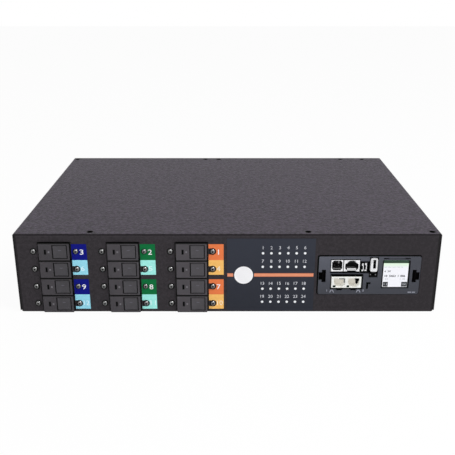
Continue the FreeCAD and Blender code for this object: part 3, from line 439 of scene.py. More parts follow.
def print_ink(name, base, roughness=0.45, glow=0.0, gloss=0.15):
    """Printed ink with a slightly uneven film."""
    finish = Finish(name, roughness, gloss, **{"Emission Color": (*base, 1.0), "Emission Strength": glow})
    film = finish.noise(0.6 * MM, 2.0)
    finish.varied(base, film, 0.04)
    return finish.bump(film, 0.004 * MM, 0.3)


def recess_black(name):
    """Black ink of the sheets that stand in for shade in hollows and gaps."""
    return print_ink(name, (0.003, 0.003, 0.0035), 0.9, gloss=0.0)


def dress(nodes, material):
    """Gives CAD nodes a material in every slot."""
    for name in nodes:
        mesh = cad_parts[name].data
        if not mesh.materials:
            mesh.materials.append(material)
        for index in range(len(mesh.materials)):
            mesh.materials[index] = material


def matching(start):
    """Names of the CAD nodes that start with some letters."""
    return sorted(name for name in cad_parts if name.startswith(start))


class Sheet:
    """Mesh that gathers flat prisms, boxes and figures, and becomes one piece."""

    def __init__(self, name):
        self.name = name
        self.form = bmesh.new()

    def prism(self, points, y0, y1):
        """Prism between two depths, of an outline seen from the front, as (x, z) points."""
        front_ring = [self.form.verts.new((x, y0, z)) for x, z in points]
        back_ring = [self.form.verts.new((x, y1, z)) for x, z in points]
        self.form.faces.new(front_ring)
        self.form.faces.new(list(reversed(back_ring)))
        for index, corner in enumerate(front_ring):
            following = (index + 1) % len(points)
            self.form.faces.new((front_ring[following], corner, back_ring[index], back_ring[following]))

    def box(self, x0, x1, y0, y1, z0, z1):
        """Box between two corners."""
        self.prism([(x0, z0), (x1, z0), (x1, z1), (x0, z1)], y0, y1)

    def oval(self, x, z, half_width, half_height, y0, y1, sides):
        """Round or oval prism."""
        self.prism([(x + half_width * math.cos(turn), z + half_height * math.sin(turn))
                    for turn in full_turn(sides)], y0, y1)

    def ring(self, outer, inner, y0, y1):
        """Flat ring between two depths, of two outlines with the same number of (x, z) points."""
        loops = [[self.form.verts.new((x, y, z)) for x, z in outline]
                 for outline, y in ((outer, y0), (inner, y0), (inner, y1), (outer, y1))]
        for index in range(len(outer)):
            following = (index + 1) % len(outer)
            for first, second in zip(loops, loops[1:] + loops[:1]):
                self.form.faces.new((first[index], first[following], second[following], second[index]))

    def figures(self, text, x, z, height, y0, y1, weight=0.0, width=None):
        """Figures centred on a point, facing the front."""
        curve = bpy.data.curves.new("figures", "FONT")
        curve.body = text
        curve.offset = weight
        curve.extrude = 0.5
        curve.resolution_u = 3
        carrier = bpy.data.objects.new("figures", curve)
        bpy.context.scene.collection.objects.link(carrier)
        graph = bpy.context.evaluated_depsgraph_get()
        mesh = bpy.data.meshes.new_from_object(carrier.evaluated_get(graph))
        bpy.data.objects.remove(carrier)
        bpy.data.curves.remove(curve)
        places = [vertex.co for vertex in mesh.vertices]
        low = Vector((min(p.x for p in places), min(p.y for p in places), 0))
        high = Vector((max(p.x for p in places), max(p.y for p in places), 0))
        middle = (low + high) / 2
        scale_z = height / (high.y - low.y)
        scale_x = width / (high.x - low.x) if width else scale_z
        for vertex in mesh.vertices:
            flat = vertex.co - middle
            depth = y0 if vertex.co.z > 0 else y1
            vertex.co = (x + flat.x * scale_x, depth, z + flat.y * scale_z)
        self.form.from_mesh(mesh)
        bpy.data.meshes.remove(mesh)

    def finish(self, material, slot, body=BODY):
        """Turns the gathered forms into a piece that rides on a body."""
        bmesh.ops.remove_doubles(self.form, verts=self.form.verts, dist=MERGE_DISTANCE)
        bmesh.ops.recalc_face_normals(self.form, faces=self.form.faces)
        mesh = bpy.data.meshes.new(self.name)
        self.form.to_mesh(mesh)
        self.form.free()
        mesh.materials.append(material)
        settled(self.name, mesh, body)


def settled(name, mesh, body=BODY, smooth=False):
    """Makes a finished mesh an object at the origin that rides on a body."""
    piece = bpy.data.objects.new(name, mesh)
    bpy.context.scene.collection.objects.link(piece)
    for polygon in mesh.polygons:
        polygon.use_smooth = smooth
    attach(piece, body)


class Growth(Graph):
    """Geometry Nodes group that ends in Realize Instances and Set Material."""

    def __init__(self, name, material):
        super().__init__(bpy.data.node_groups.new(name, "GeometryNodeTree"))
        self.name = name
        self.material = material
        self.values = {}
        self.tree.interface.new_socket("Geometry", in_out="OUTPUT", socket_type="NodeSocketGeometry")
        self.entry = self.tree.nodes.new("NodeGroupInput")
        self.exit = self.tree.nodes.new("NodeGroupOutput")

    def size(self, name, value, kind="NodeSocketFloat"):
        """Named input of the group, with the value that this piece sets it to."""
        socket = self.tree.interface.new_socket(name, in_out="INPUT", socket_type=kind)
        self.values[socket.identifier] = value
        return self.entry.outputs[name]

    def count(self, name, value):
        """Named whole-number input."""
        return self.size(name, value, "NodeSocketInt")

    def vector(self, name, value):
        """Named vector input."""
        return self.size(name, value, "NodeSocketVector")

    def moved(self, geometry, place=(0.0, 0.0, 0.0), turn=(0.0, 0.0, 0.0)):
        """Geometry turned and then moved."""
        node = self.node("GeometryNodeTransform", None,
                         {"Geometry": geometry, "Translation": place, "Rotation": turn})
        return node.outputs[0]

    def row(self, count, offset, start=(0.0, 0.0, 0.0)):
        """Points in a row."""
        node = self.node("GeometryNodeMeshLine", {"mode": "OFFSET"},
                         {"Count": count, "Start Location": start, "Offset": offset})
        return node.outputs[0]

    def copies(self, points, form):
        """A form on every point."""
        node = self.node("GeometryNodeInstanceOnPoints", None, {"Points": points, "Instance": form})
        return node.outputs[0]

    def across(self, form, name, count, pitch, first):
        """Copies of a form in a row from left to right, with a named count, pitch and first place."""
        points = self.row(self.count(name, count), self.vector("Pitch", (pitch, 0.0, 0.0)),
                          self.vector("First", first))
        return self.copies(points, form)

    def cube(self, name, size):
        """Box with a named size."""
        return self.node("GeometryNodeMeshCube", None, {"Size": self.vector(name, size)}).outputs[0]

    def wire(self, line, name, radius, sides):
        """Round wire along a curve, with a named radius."""
        section = self.node("GeometryNodeCurvePrimitiveCircle", None,
                            {"Resolution": sides, "Radius": self.size(name, radius)})
        node = self.node("GeometryNodeCurveToMesh", None,
                         {"Curve": line.outputs[0], "Profile Curve": section.outputs[0], "Fill Caps": True})
        return node.outputs[0]

    def together(self, *forms):
        """Several forms as one."""
        node = self.tree.nodes.new("GeometryNodeJoinGeometry")
        for form in forms:
            self.tree.links.new(form, node.inputs[0])
        return node.outputs[0]

    def piece(self, geometry, slot, smooth=False):
        """Grows the tree into a plain mesh that rides on the chassis."""
        real = self.node("GeometryNodeRealizeInstances", None, {0: geometry})
        painted = self.node("GeometryNodeSetMaterial", None,
                            {"Geometry": real.outputs[0], "Material": self.material})
        self.tree.links.new(painted.outputs[0], self.exit.inputs[0])
        carrier = bpy.data.objects.new(self.name, bpy.data.meshes.new(self.name))
        bpy.context.scene.collection.objects.link(carrier)
        modifier = carrier.modifiers.new("Growth", "NODES")
        modifier.node_group = self.tree
        for identifier, value in self.values.items():
            modifier[identifier] = value
        carrier.update_tag()
        graph = bpy.context.evaluated_depsgraph_get()
        mesh = bpy.data.meshes.new_from_object(carrier.evaluated_get(graph))
        carrier.modifiers.remove(modifier)
        bpy.data.objects.remove(carrier)
        form = bmesh.new()
        form.from_mesh(mesh)
        bmesh.ops.remove_doubles(form, verts=form.verts, dist=MERGE_DISTANCE)
        bmesh.ops.recalc_face_normals(form, faces=form.faces)
        form.to_mesh(mesh)
        form.free()
        if not mesh.polygons:
            raise RuntimeError("%s grew no faces" % self.name)
        settled(self.name, mesh, smooth=smooth)


def breaker_number(row, column):
    """Number of a breaker by its row from the top and its column from the left."""
    return COLUMNS - column + COLUMNS * row


def breaker_box(number):
    """Corners of a breaker case."""
    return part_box("breaker_case_%02d" % number)


def breaker_height(row):
    """Height of a row's middle, from its rocker."""
    return box_middle("breaker_rocker_%02d" % breaker_number(row, 0))[2]


class RACKUNIT_OT_case(bpy.types.Operator):
    """Paint the tray and the cover, and blacken the cover's screws"""
    bl_idname = "rackunit.case"
    bl_label = "Case"

    # Painted light: the top's paint is a lighter, more purple copy, as light from above falls on it.
    cover_tint = (1.3, 1.2, 1.5)
    top_skin = (-0.6 * MM, -0.1 * MM)
    # Painted shade: the front's paint darkens across this span towards the right.
    right_fade = (50 * MM, 200 * MM)
    # Widths and depths of painted shade, in black: at the front's edges and openings, round the screws and
    # beside the module.
    front_skin = (1.8 * MM, 2.6 * MM)
    side_strip = (-2.2 * MM, -1.3 * MM)
    foot_strip = (0.6 * MM, 1.5 * MM)
    brow_strip = (-1.7 * MM, -0.8 * MM)
    brow_depth = 0.4 * MM
    panel_margin = 4 * MM
    wall_depth = (0.05 * MM, 0.3 * MM)
    screw_ring = (3.5 * MM, 4.0 * MM)
    module_line = 0.45 * MM
    seat_ring = (3.5 * MM, 3.9 * MM)
    seat_depth = 6 * MM

    def execute(self, context):
        dress(["base_tray", "top_cover"], known_material("Powder coat", self.powder_coat))
        dress(["cover_screws"], known_material("Black oxide", self.black_oxide))
        return {"FINISHED"}

    def powder_coat(self, name):
        """Textured dark powder coat, mottled on top; painted lighter and more purple on top as light from
        above, painted darker to the right as shade, and black where it is shaded.
        """
        finish = Finish(name, 0.5, 0.18)
        grain = sizes().grain
        fine = finish.noise(grain * 0.6, 3.0)
        coarse = finish.noise(grain * 1.8, 2.0)
        patchy = finish.noise(grain * 3.4, 1.0)
        front_grain = (fine * 0.3 + coarse * 0.35 + patchy * 0.35).ramp(0.38, 0.62)
        top_grain = (coarse * 0.5 + patchy * 0.5).ramp(0.4, 0.6)
        top = finish.z.ramp(*span_from(TOP, self.top_skin))
        paint = finishes().paint
        # Painted light: a lighter, more purple copy of the paint for the top.
        cover = tuple(level * share for level, share in zip(paint, self.cover_tint))
        # Painted shade: the front darkens towards the right.
        right_shade = finish.x.ramp(*self.right_fade)
        front_paint = finish.mix(front_grain - right_shade * 0.4, shaded(paint, 0.76), shaded(paint, 1.24))
        top_lit_paint = finish.mix(top_grain, shaded(cover, 0.45), shaded(cover, 1.55))
        plain = finish.mix(top, front_paint, top_lit_paint)
        finish.colour(finish.mix(self.shade(finish), plain, SHADE_BLACK))
        finish.rough(coarse.ramp(0.3, 0.7, 0.42, 0.62))
        relief = (fine * 0.5 + coarse * 0.8 + patchy * 1.2) * (0.4 + top * 0.8)
        return finish.bump(relief, 0.5 * MM, 0.8)

    def shade(self, finish):
        """Share of painted shade, in black, in the paint: at bends and openings, round the screws and beside
        the module.
        """
        near_front = 1.0 - finish.y.ramp(*span_from(FRONT, self.front_skin))
        spread = finish.x * finish.x
        # Painted shade: dark strips at the front's sides, foot and top edge, and black in the openings'
        # walls.
        side = spread.squared_ramp(*span_from(HALF_WIDTH, self.side_strip)) * 0.6
        foot = (1.0 - finish.z.ramp(*self.foot_strip)) * 0.5
        brow = finish.z.ramp(*span_from(TOP, self.brow_strip))
        brow = brow * (finish.y < (FRONT + self.brow_depth)) * 0.25
        edges = side.greater(foot).greater(brow) * near_front
        inner = (spread < (HALF_WIDTH - self.panel_margin) ** 2) * (finish.z > self.panel_margin)
        inner = inner * (finish.z < (TOP - self.panel_margin))
        walls = finish.y.ramp(*span_from(FRONT, self.wall_depth)) * near_front * inner
        rings = self.screw_rings(finish) * near_front
        corner = self.module_corner(finish) * near_front
        return edges.greater(walls).greater(rings).greater(corner).greater(self.cover_seats(finish))

    def screw_rings(self, finish):
        """Share of painted shade, in black, round the breaker screws."""
        column, column_pitch, low_row, row_pitch = breaker_grid()
        field = (finish.x < (column + column_pitch * (COLUMNS - 0.5))) * (
            finish.z < (low_row + row_pitch * (ROWS - 0.5)))
        return (1.0 - screw_distance(finish).squared_ramp(*self.screw_ring)) * field

    def module_corner(self, finish):
        """Share of painted shade, in black, in the lines above the module and left of it."""
        line = self.module_line
        across = (finish.x > (faceplate_low.x - line)) * (finish.x < (faceplate_high.x - line))
        return across * (finish.z > (faceplate_low.z + line)) * (finish.z < (faceplate_high.z + line))

    def cover_seats(self, finish):
        """Share of painted shade, in black, round the screws on top of the cover."""
        near_top = finish.z > TOP - self.seat_depth
        seats = []
        for x, y, z in solid_middles("cover_screws"):
            if z > TOP - self.seat_depth:
                across = finish.x - x
                along = finish.y - y
                distance = across * across + along * along
                seats.append((1.0 - distance.squared_ramp(*self.seat_ring)) * near_top)
        return functools.reduce(Field.greater, seats)

    def black_oxide(self, name):
        """Dull black screws."""
        finish = Finish(name, 0.8, 0.0)
        cloud = finish.noise(1.2 * MM)
        finish.varied((0.0025, 0.0025, 0.0025), cloud, 0.3)
        return finish.bump(cloud, 0.01 * MM, 0.3)


class RACKUNIT_OT_breakers(bpy.types.Operator):
    """Finish the breaker cases and rockers, print their dashes, and paint a highlight on each rocker and
    shade in each trip slot
    """
    bl_idname = "rackunit.breakers"
    bl_label = "Breakers"

    dash_offset = 3.2 * MM
    dash_width = 1.8 * MM
    dash_height = 1.9 * MM
    slot_offset = -8.9 * MM
    # Size and place of the painted highlight on each rocker.
    mark_width = 3.6 * MM
    mark_height = 1.0 * MM
    mark_rise = 1.6 * MM
    mark_thickness = 0.16 * MM
    mark_sides = 24
    face_sag = 0.42 * MM
    # Widths and depths of the painted shade, in black, on the cases and rockers.
    case_edge = 0.48 * MM
    rocker_edge = 0.45 * MM
    trunnion = 1.1 * MM
    case_shade_start = -2.75 * MM
    rocker_shade_start = -2.4 * MM
    # Painted light: how much lighter the cases and rockers of the last column are painted.
    case_lift = 0.33
    rocker_lift = 0.22
    # Painted shade in and round the trip slots.
    slot_border = 0.35 * MM
    slot_width = 1.66 * MM
    slot_height = 4.86 * MM
    slot_recess = 0.15 * MM
    slot_depth = 1.0 * MM
    # Painted shade in the screw heads' sockets and at their rims.
    socket_radius = 1.05 * MM
    socket_depth = 0.3 * MM
    screw_rim = (2.3 * MM, 2.7 * MM)

    def execute(self, context):
        colours = finishes()
        dress(matching("breaker_case"), known_material(
            "Breaker moulding", moulded, colours.breaker, 0.48, shade=self.case_shade, lift=self.case_lift))
        dress(matching("breaker_rocker"), known_material(
            "Rocker moulding", moulded, colours.rocker, 0.42, shade=self.rocker_shade, lift=self.rocker_lift))
        dress(["breaker_screws"], known_material("Plated screw", self.screw_metal))
        self.dashes()
        self.slots()
        self.marks()
        return {"FINISHED"}

    def case_shade(self, finish):
        """Share of painted shade, in black, on the breaker cases."""
        border = 2 * self.slot_border
        slot = (self.slot_offset, self.slot_width + border, self.slot_height + border)
        depth = FRONT + self.case_shade_start
        return breaker_shade(finish, "breaker_case_", depth, self.case_edge, slot=slot)

    def rocker_shade(self, finish):
        """Share of painted shade, in black, on the rockers."""
        depth = FRONT + self.rocker_shade_start
        return breaker_shade(finish, "breaker_rocker_", depth, self.rocker_edge, self.trunnion)

    def screw_metal(self, name):
        """Plated domed heads, painted black as shade in their sockets and at their rims."""
        finish = Finish(name, 0.24, Metallic=1.0)
        lines = finish.noise(0.5 * MM, 3.0, (5.0, 1.0, 1.0))
        distance = screw_distance(finish)
        # Painted shade: black in the socket and darker towards the rim.
        socket = (distance < self.socket_radius ** 2) * (
            finish.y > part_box("breaker_screws")[0].y + self.socket_depth)
        rim = distance.squared_ramp(*self.screw_rim) * 0.8
        silver = finishes().silver
        plain = finish.clouded(lines, shaded(silver, 0.85), shaded(silver, 1.15))
        finish.colour(finish.mix(socket.greater(rim), plain, (0.004, 0.004, 0.004)))
        finish.rough(lines.ramp(0.3, 0.7, 0.18, 0.32))
        return finish.bump(lines, 0.01 * MM, 0.3)

    def dashes(self):
        """Short moulded dash beside the trip slot of every breaker."""
        ink = known_material("Dull print", print_ink, tone(112, 110, 115), 0.5)
        rocker_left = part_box("breaker_rocker_%02d" % breaker_number(0, 0))[0].x
        offset = rocker_left - breaker_grid()[0] - self.dash_offset - self.dash_width / 2
        depth = breaker_box(1)[0].y + PRINT_SINK - PRINT_THICKNESS / 2
        self.grid("breaker_dashes", ink, (self.dash_width, PRINT_THICKNESS, self.dash_height), offset, depth)

    def slots(self):
        """Black sheet just inside the trip slot of every breaker: painted shade that blackens the slot."""
        depth = breaker_box(1)[0].y + self.slot_recess + self.slot_depth / 2
        self.grid("breaker_slots", known_material("Recess black", recess_black),
                  (self.slot_width, self.slot_depth, self.slot_height), self.slot_offset, depth)

    def grid(self, name, material, size, offset, depth):
        """Small boxes at the same place of every breaker."""
        column, column_pitch, low_row, row_pitch = breaker_grid()
        if column + offset - size[0] < breaker_box(breaker_number(0, 0))[0].x:
            raise RuntimeError("%s would stand beside the breakers" % name)
        growth = Growth(name, material)
        form = growth.cube("Size", size)
        across = growth.row(growth.count("Columns", COLUMNS),
                            growth.vector("Column step", (column_pitch, 0.0, 0.0)))
        upward = growth.row(growth.count("Rows", ROWS), growth.vector("Row step", (0.0, 0.0, row_pitch)))
        place = growth.vector("First", (column + offset, depth, low_row))
        columns = growth.copies(across, form)
        growth.piece(growth.moved(growth.copies(upward, columns), place), "breaker_plastic")

    def marks(self):
        """Painted highlight: a light oval in the dish of each rocker, which turns with it."""
        ink = known_material("Rocker print", print_ink, tone(92, 90, 98), 0.5)
        for node in matching("breaker_rocker"):
            number = node[-2:]
            x, _, z = box_middle(node)
            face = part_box(node)[0].y + self.face_sag
            sheet = Sheet("rocker_mark_" + number)
            sheet.oval(x, z + self.mark_rise, self.mark_width / 2, self.mark_height / 2, face,
                       face + self.mark_thickness, self.mark_sides)
            sheet.finish(ink, "rocker_plastic", "rocker_" + number)


class RACKUNIT_OT_labels(bpy.types.Operator):
    """Colour the label fields and print the breaker numbers"""
    bl_idname = "rackunit.labels"
    bl_label = "Labels"

    digit_weight = 0.008
    digit_width = 4.0 * MM
    pair_width = 6.0 * MM
    pair_shift = 1.4 * MM
    pale_height = 0.97
    bold_shift = 0.1 * MM
    bold_drop = 1.1 * MM
    pale_white = 0.55
    top_split_drop = 0.55 * MM
    low_split_drop = 0.3 * MM
    notch_radius = 3.77 * MM
    notch_half_slot = 3.41 * MM
    screw_clearance = 3.15 * MM
    ring_sides = 72

    def execute(self, context):
        colours = finishes()
        pairs = ((colours.blue_dark, colours.blue_light), (colours.green_dark, colours.green_light),
                 (colours.orange_dark, colours.orange_light))
        white = known_material("White print", print_ink, finishes().print_white)
        for column, name in enumerate(LABEL_NODES):
            low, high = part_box(name)
            film = self.film(name + " film", (low.z + high.z) / 2, *pairs[column])
            dress([name], film)
            if column < COLUMNS - 1:
                self.rings(name, low, high, film)
            pale = self.pale_ink(column, pairs[column][1])
            bold_sheet = Sheet("figures_bold_" + name.split("_")[1])
            pale_sheet = Sheet("figures_pale_" + name.split("_")[1])
            for row in range(ROWS):
                number = breaker_number(row, column)
                bold = row % 2 == 0
                sheet = bold_sheet if bold else pale_sheet
                width = self.digit_width if number < 10 else self.pair_width
                if number == 1:
                    width = None
                shift = (self.bold_shift if bold else 0.0) + (0.0 if number < 10 else self.pair_shift)
                height = sizes().label_digit * (1.0 if bold else self.pale_height)
                sheet.figures(str(number), low.x + sizes().label_digit_x + shift, self.figure_height(row),
                              height, *print_skin(low.y), self.digit_weight, width)
            bold_sheet.finish(white, "overlay_film")
            pale_sheet.finish(pale, "overlay_film")
        return {"FINISHED"}

    def rings(self, name, low, high, film):
        """Film that fills the notches of the dark fields up to the screw heads."""
        screws = [place for place in solid_middles("breaker_screws") if low.x < place[0] < high.x]
        if len(screws) != ROWS:
            raise RuntimeError("%s has %d screws" % (name, len(screws)))
        screws.sort(key=lambda place: -place[2])
        sheet = Sheet(name.replace("labels", "label_rings"))
        for x, _, z in screws[::2]:
            reach = x - low.x
            corner = math.atan2(self.notch_half_slot, reach)
            turns = sorted(full_turn(self.ring_sides) + [math.pi - corner, math.pi + corner])
            outer = []
            for turn in turns:
                across, upward = math.cos(turn), math.sin(turn)
                radius = self.notch_radius
                if across < -1e-6:
                    slot = min(reach / -across, self.notch_half_slot / max(abs(upward), 1e-6))
                    radius = max(radius, slot)
                outer.append((x + radius * across, z + radius * upward))
            inner = [(x + self.screw_clearance * math.cos(turn), z + self.screw_clearance * math.sin(turn))
                     for turn in turns]
            sheet.ring(outer, inner, low.y - PRINT_SINK, high.y)
        sheet.finish(film, "overlay_film")

    def figure_height(self, row):
        """Height of a figure's middle: the row's middle, a little lower on the dark fields."""
        return breaker_height(row) - (self.bold_drop if row % 2 == 0 else 0.0)

    def pale_ink(self, column, field):
        """White ink that the light fields shine through."""
        base = tuple(min(1.0, self.pale_white * (level + white))
                     for level, white in zip(field, finishes().print_white))
        return known_material("Pale print %d" % column, print_ink, base)

    def film(self, name, middle, upper, lower):
        """Printed film whose upper and lower halves differ, once for each of the two labels."""
        finish = Finish(name, 0.5, 0.12)
        row_pitch = breaker_grid()[3]
        top_split = middle + row_pitch - self.top_split_drop
        low_split = middle - row_pitch - self.low_split_drop
        upper_half = (finish.z > top_split) + (finish.z > low_split) * (finish.z < middle)
        cloud = finish.noise(3 * MM)
        lower_colour = finish.clouded(cloud, lower, shaded(lower, 0.93))
        finish.colour(finish.mix(upper_half, lower_colour, upper))
        finish.bump(finish.noise(0.8 * MM), 0.006 * MM, 0.3)
        return finish.material


class RACKUNIT_OT_overlay(bpy.types.Operator):
    """Print the graphic panel: stripe, disc and outlet numbers, and light the light pipes"""
    bl_idname = "rackunit.overlay"
    bl_label = "Graphic panel"

    columns = 6
    first_light = 36.9 * MM
    light_pitch = 8.68 * MM
    light_rows = ((67.6 * MM, 6.2 * MM), (52.4 * MM, 6.4 * MM), (27.4 * MM, 6.2 * MM), (12.2 * MM, 6.3 * MM))
    light_depth = 0.2 * MM
    disc_x = 17.1 * MM
    disc_z = 43.0 * MM
    disc_sides = 96
    stripe_z = disc_z + 0.2 * MM
    stripe_spans = ((0.1 * MM, 6.2 * MM), (28.1 * MM, 89.9 * MM))
    stripe_edge = (-0.75 * MM, -0.1 * MM)

    def execute(self, context):
        dress(["overlay_panel"], self.film())
        dress(["light_pipes"], self.lens())
        skin = print_skin(overlay_low.y)
        stripe = Sheet("panel_stripe")
        half = sizes().stripe_height / 2
        for left, right in self.stripe_spans:
            stripe.box(left, right, *skin, self.stripe_z - half, self.stripe_z + half)
        stripe.finish(self.stripe_ink(), "overlay_film")
        white = known_material("White print", print_ink, finishes().print_white)
        disc = Sheet("panel_disc")
        radius = sizes().disc_radius
        disc.oval(self.disc_x, self.disc_z, radius, radius, *skin, self.disc_sides)
        disc.finish(white, "overlay_film")
        grey = known_material("Figure print", print_ink, tone(216, 218, 225))
        figures = Sheet("panel_figures")
        for row, (z, rise) in enumerate(self.light_rows):
            for column in range(self.columns):
                number = row * self.columns + column + 1
                figures.figures(str(number), self.first_light + column * self.light_pitch, z + rise,
                                sizes().light_digit, *skin)
        figures.finish(grey, "overlay_film")
        return {"FINISHED"}

    def film(self):
        """Satin film, lighter towards its top, with a faint weave of fine dots."""
        finish = Finish("Graphic film", 0.45, 0.15)
        base = finishes().overlay
        dots = finish.specks(0.7 * MM)
        rise = finish.z.ramp(overlay_low.z, overlay_high.z)
        finish.colour(finish.mix(rise * 0.85 + dots * 0.25, shaded(base, 0.74), shaded(base, 1.08)))
        finish.bump(dots, 0.01 * MM, 0.35)
        return finish.material

    def stripe_ink(self):
        """Warm ink, deeper along its edges."""
        finish = Finish("Stripe print", 0.45, 0.15)
        offset = finish.z - self.stripe_z
        half = sizes().stripe_height / 2
        edge = (offset * offset).squared_ramp(*span_from(half, self.stripe_edge))
        finish.colour(finish.mix(edge, finishes().stripe, tone(104, 54, 36)))
        finish.bump(finish.noise(0.6 * MM), 0.004 * MM, 0.3)
        return finish.material

    def lens(self):
        """Clear-white light pipe, lit from behind at its ends."""
        finish = Finish("Lit lens", 0.4, 0.2)
        finish.colour((0.6, 0.61, 0.63))
        ends = finish.y < (FRONT + self.light_depth)
        cloud = finish.noise(1.2 * MM)
        finish.glow(finish.mix(ends * (0.75 + cloud * 0.25), (0.0, 0.0, 0.0), (0.3, 0.31, 0.32)))
        return finish.material


class RACKUNIT_OT_module(bpy.types.Operator):
    """Finish the monitoring module's faceplate, latches and bay, print its small marks, and paint black lines
    of shade beside its openings
    """
    bl_idname = "rackunit.module"
    bl_label = "Monitoring module"

    print_z = 24.4 * MM
    digit_z = 25.2 * MM
    digit_height = 2.3 * MM
    sign_half = 2.4 * MM
    sign_line = 0.8 * MM
    sign_height = 3.0 * MM
    sign_slope = 1.1 * MM
    port_marks = (("1", 104.7 * MM, 109.9 * MM), ("2", 142.9 * MM, 137.8 * MM))
    digit_weight = 0.06
    bar_z = 23.2 * MM
    bar_half = 0.6 * MM
    plate_line = 0.35 * MM
    window_border = 0.6 * MM
    window_head = 2 * MM
    window_lines = (0.36 * MM, 0.7 * MM, 0.5 * MM)
    bay_shade = (7 * MM, 9 * MM)
    plate_shade = (0.1 * MM, 0.9 * MM)
    bars = ((189.9 * MM, 193.6 * MM), (194.4 * MM, 197.8 * MM))
    # Painted shade: black lines on the faceplate beside the jacks and ports and over the two slits.
    recesses = tuple(tuple(value * MM for value in recess) for recess in (
        (107.2, 147.7, 44.9, 45.97), (107.9, 142.0, 43.08, 44.1), (107.8, 108.52, 27.0, 43.1),
        (141.38, 142.0, 27.0, 43.1), (107.9, 142.0, 26.7, 27.32), (162.6, 167.6, 61.15, 61.95),
        (184.6, 190.0, 61.15, 61.95), (167.5, 184.7, 61.4, 61.75), (145.75, 146.35, 27.0, 34.75),
        (146.3, 150.3, 32.5, 33.07)))

    def execute(self, context):
        dress(["module_faceplate"], self.plate())
        dress(["latch_left", "latch_right"],
              known_material("Latch moulding", moulded, tone(4, 4, 5), 0.8, gloss=0.03))
        dress(["module_bay"], known_material("Galvanised sheet", self.bay_sheet))
        skin = print_skin(faceplate_low.y)
        marks = Sheet("module_marks")
        for text, digit_x, sign_x in self.port_marks:
            marks.figures(text, digit_x, self.digit_z, self.digit_height, *skin, self.digit_weight)
            self.port_sign(marks, sign_x, skin)
        ink = known_material("Module print", print_ink, tone(146, 148, 160), 0.5)
        marks.finish(ink, "module_plastic")
        bars = Sheet("module_bars")
        for left, right in self.bars:
            bars.box(left, right, *skin, self.bar_z - self.bar_half, self.bar_z + self.bar_half)
        bars.finish(ink, "module_plastic")
        self.black_lines(skin)
        return {"FINISHED"}

    def black_lines(self, skin):
        """Painted shade: black lines beside the jacks, the ports and the display's window, where the gaps are
        shaded.
        """
        recesses = Sheet("module_recesses")
        for left, right, low, high in self.recesses:
            recesses.box(left, right, *skin, low, high)
        low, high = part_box("lcd_display")
        left = low.x + self.window_border
        right = high.x - self.window_border
        foot = low.z + self.window_border
        left_line, right_line, foot_line = self.window_lines
        head = high.z - self.window_head
        recesses.box(left - left_line, left, *skin, foot - foot_line, head)
        recesses.box(right, right + right_line, *skin, foot - foot_line, head)
        recesses.box(left, right, *skin, foot - foot_line, foot)
        recesses.finish(known_material("Recess black", recess_black), "module_plastic")

    def bay_sheet(self, name):
        """Galvanised sheet, painted black just behind the opening as the shade there."""
        finish = plated(name, (0.3, 0.3, 0.31), 0.45, 2 * MM)
        plain = finish.shader.inputs["Base Color"].links[0].from_socket
        deep = finish.y.ramp(*span_from(FRONT, self.bay_shade))
        return finish.colour(finish.mix(deep, SHADE_BLACK, plain))

    def port_sign(self, marks, x, skin):
        """Small sign over a pair of contacts: an arch with an open foot."""
        half = self.sign_half
        line = self.sign_line
        low = self.print_z - self.sign_height / 2
        high = self.print_z + self.sign_height / 2
        slope = self.sign_slope
        marks.prism([(x - half, low), (x - half + line, low), (x - half + slope + line, high - line),
                     (x + half - slope - line, high - line), (x + half - line, low), (x + half, low),
                     (x + half - slope, high), (x - half + slope, high)], *skin)

    def plate(self):
        """Satin moulding, painted a little lighter at its upper left as light that falls there, and painted
        black as shade at its edges there and in openings.
        """
        finish = Finish("Faceplate moulding", 0.45, 0.2)
        base = finishes().faceplate
        fine = finish.noise(0.3 * MM)
        across = finish.x.ramp(faceplate_low.x, faceplate_high.x)
        upward = finish.z.ramp(faceplate_low.z, faceplate_high.z)
        # Painted light: lit and shaded copies of the base, lighter towards the upper left.
        dark = shaded(base, 0.72)
        light = shaded(base, 1.8)
        share = 0.16 + upward * (0.75 - across * 0.6) + (fine - 0.5) * 0.1
        # Painted shade: black in the openings and along the top and left edges.
        shade = finish.y.ramp(*span_from(FRONT, self.plate_shade))
        shade = shade.greater(finish.z > (faceplate_high.z - self.plate_line))
        shade = shade.greater(finish.x < (faceplate_low.x + self.plate_line))
        finish.colour(finish.mix(shade, finish.mix(share, dark, light), (0.004, 0.004, 0.005)))
        finish.bump(fine, 0.02 * MM, 0.35)
        return finish.material


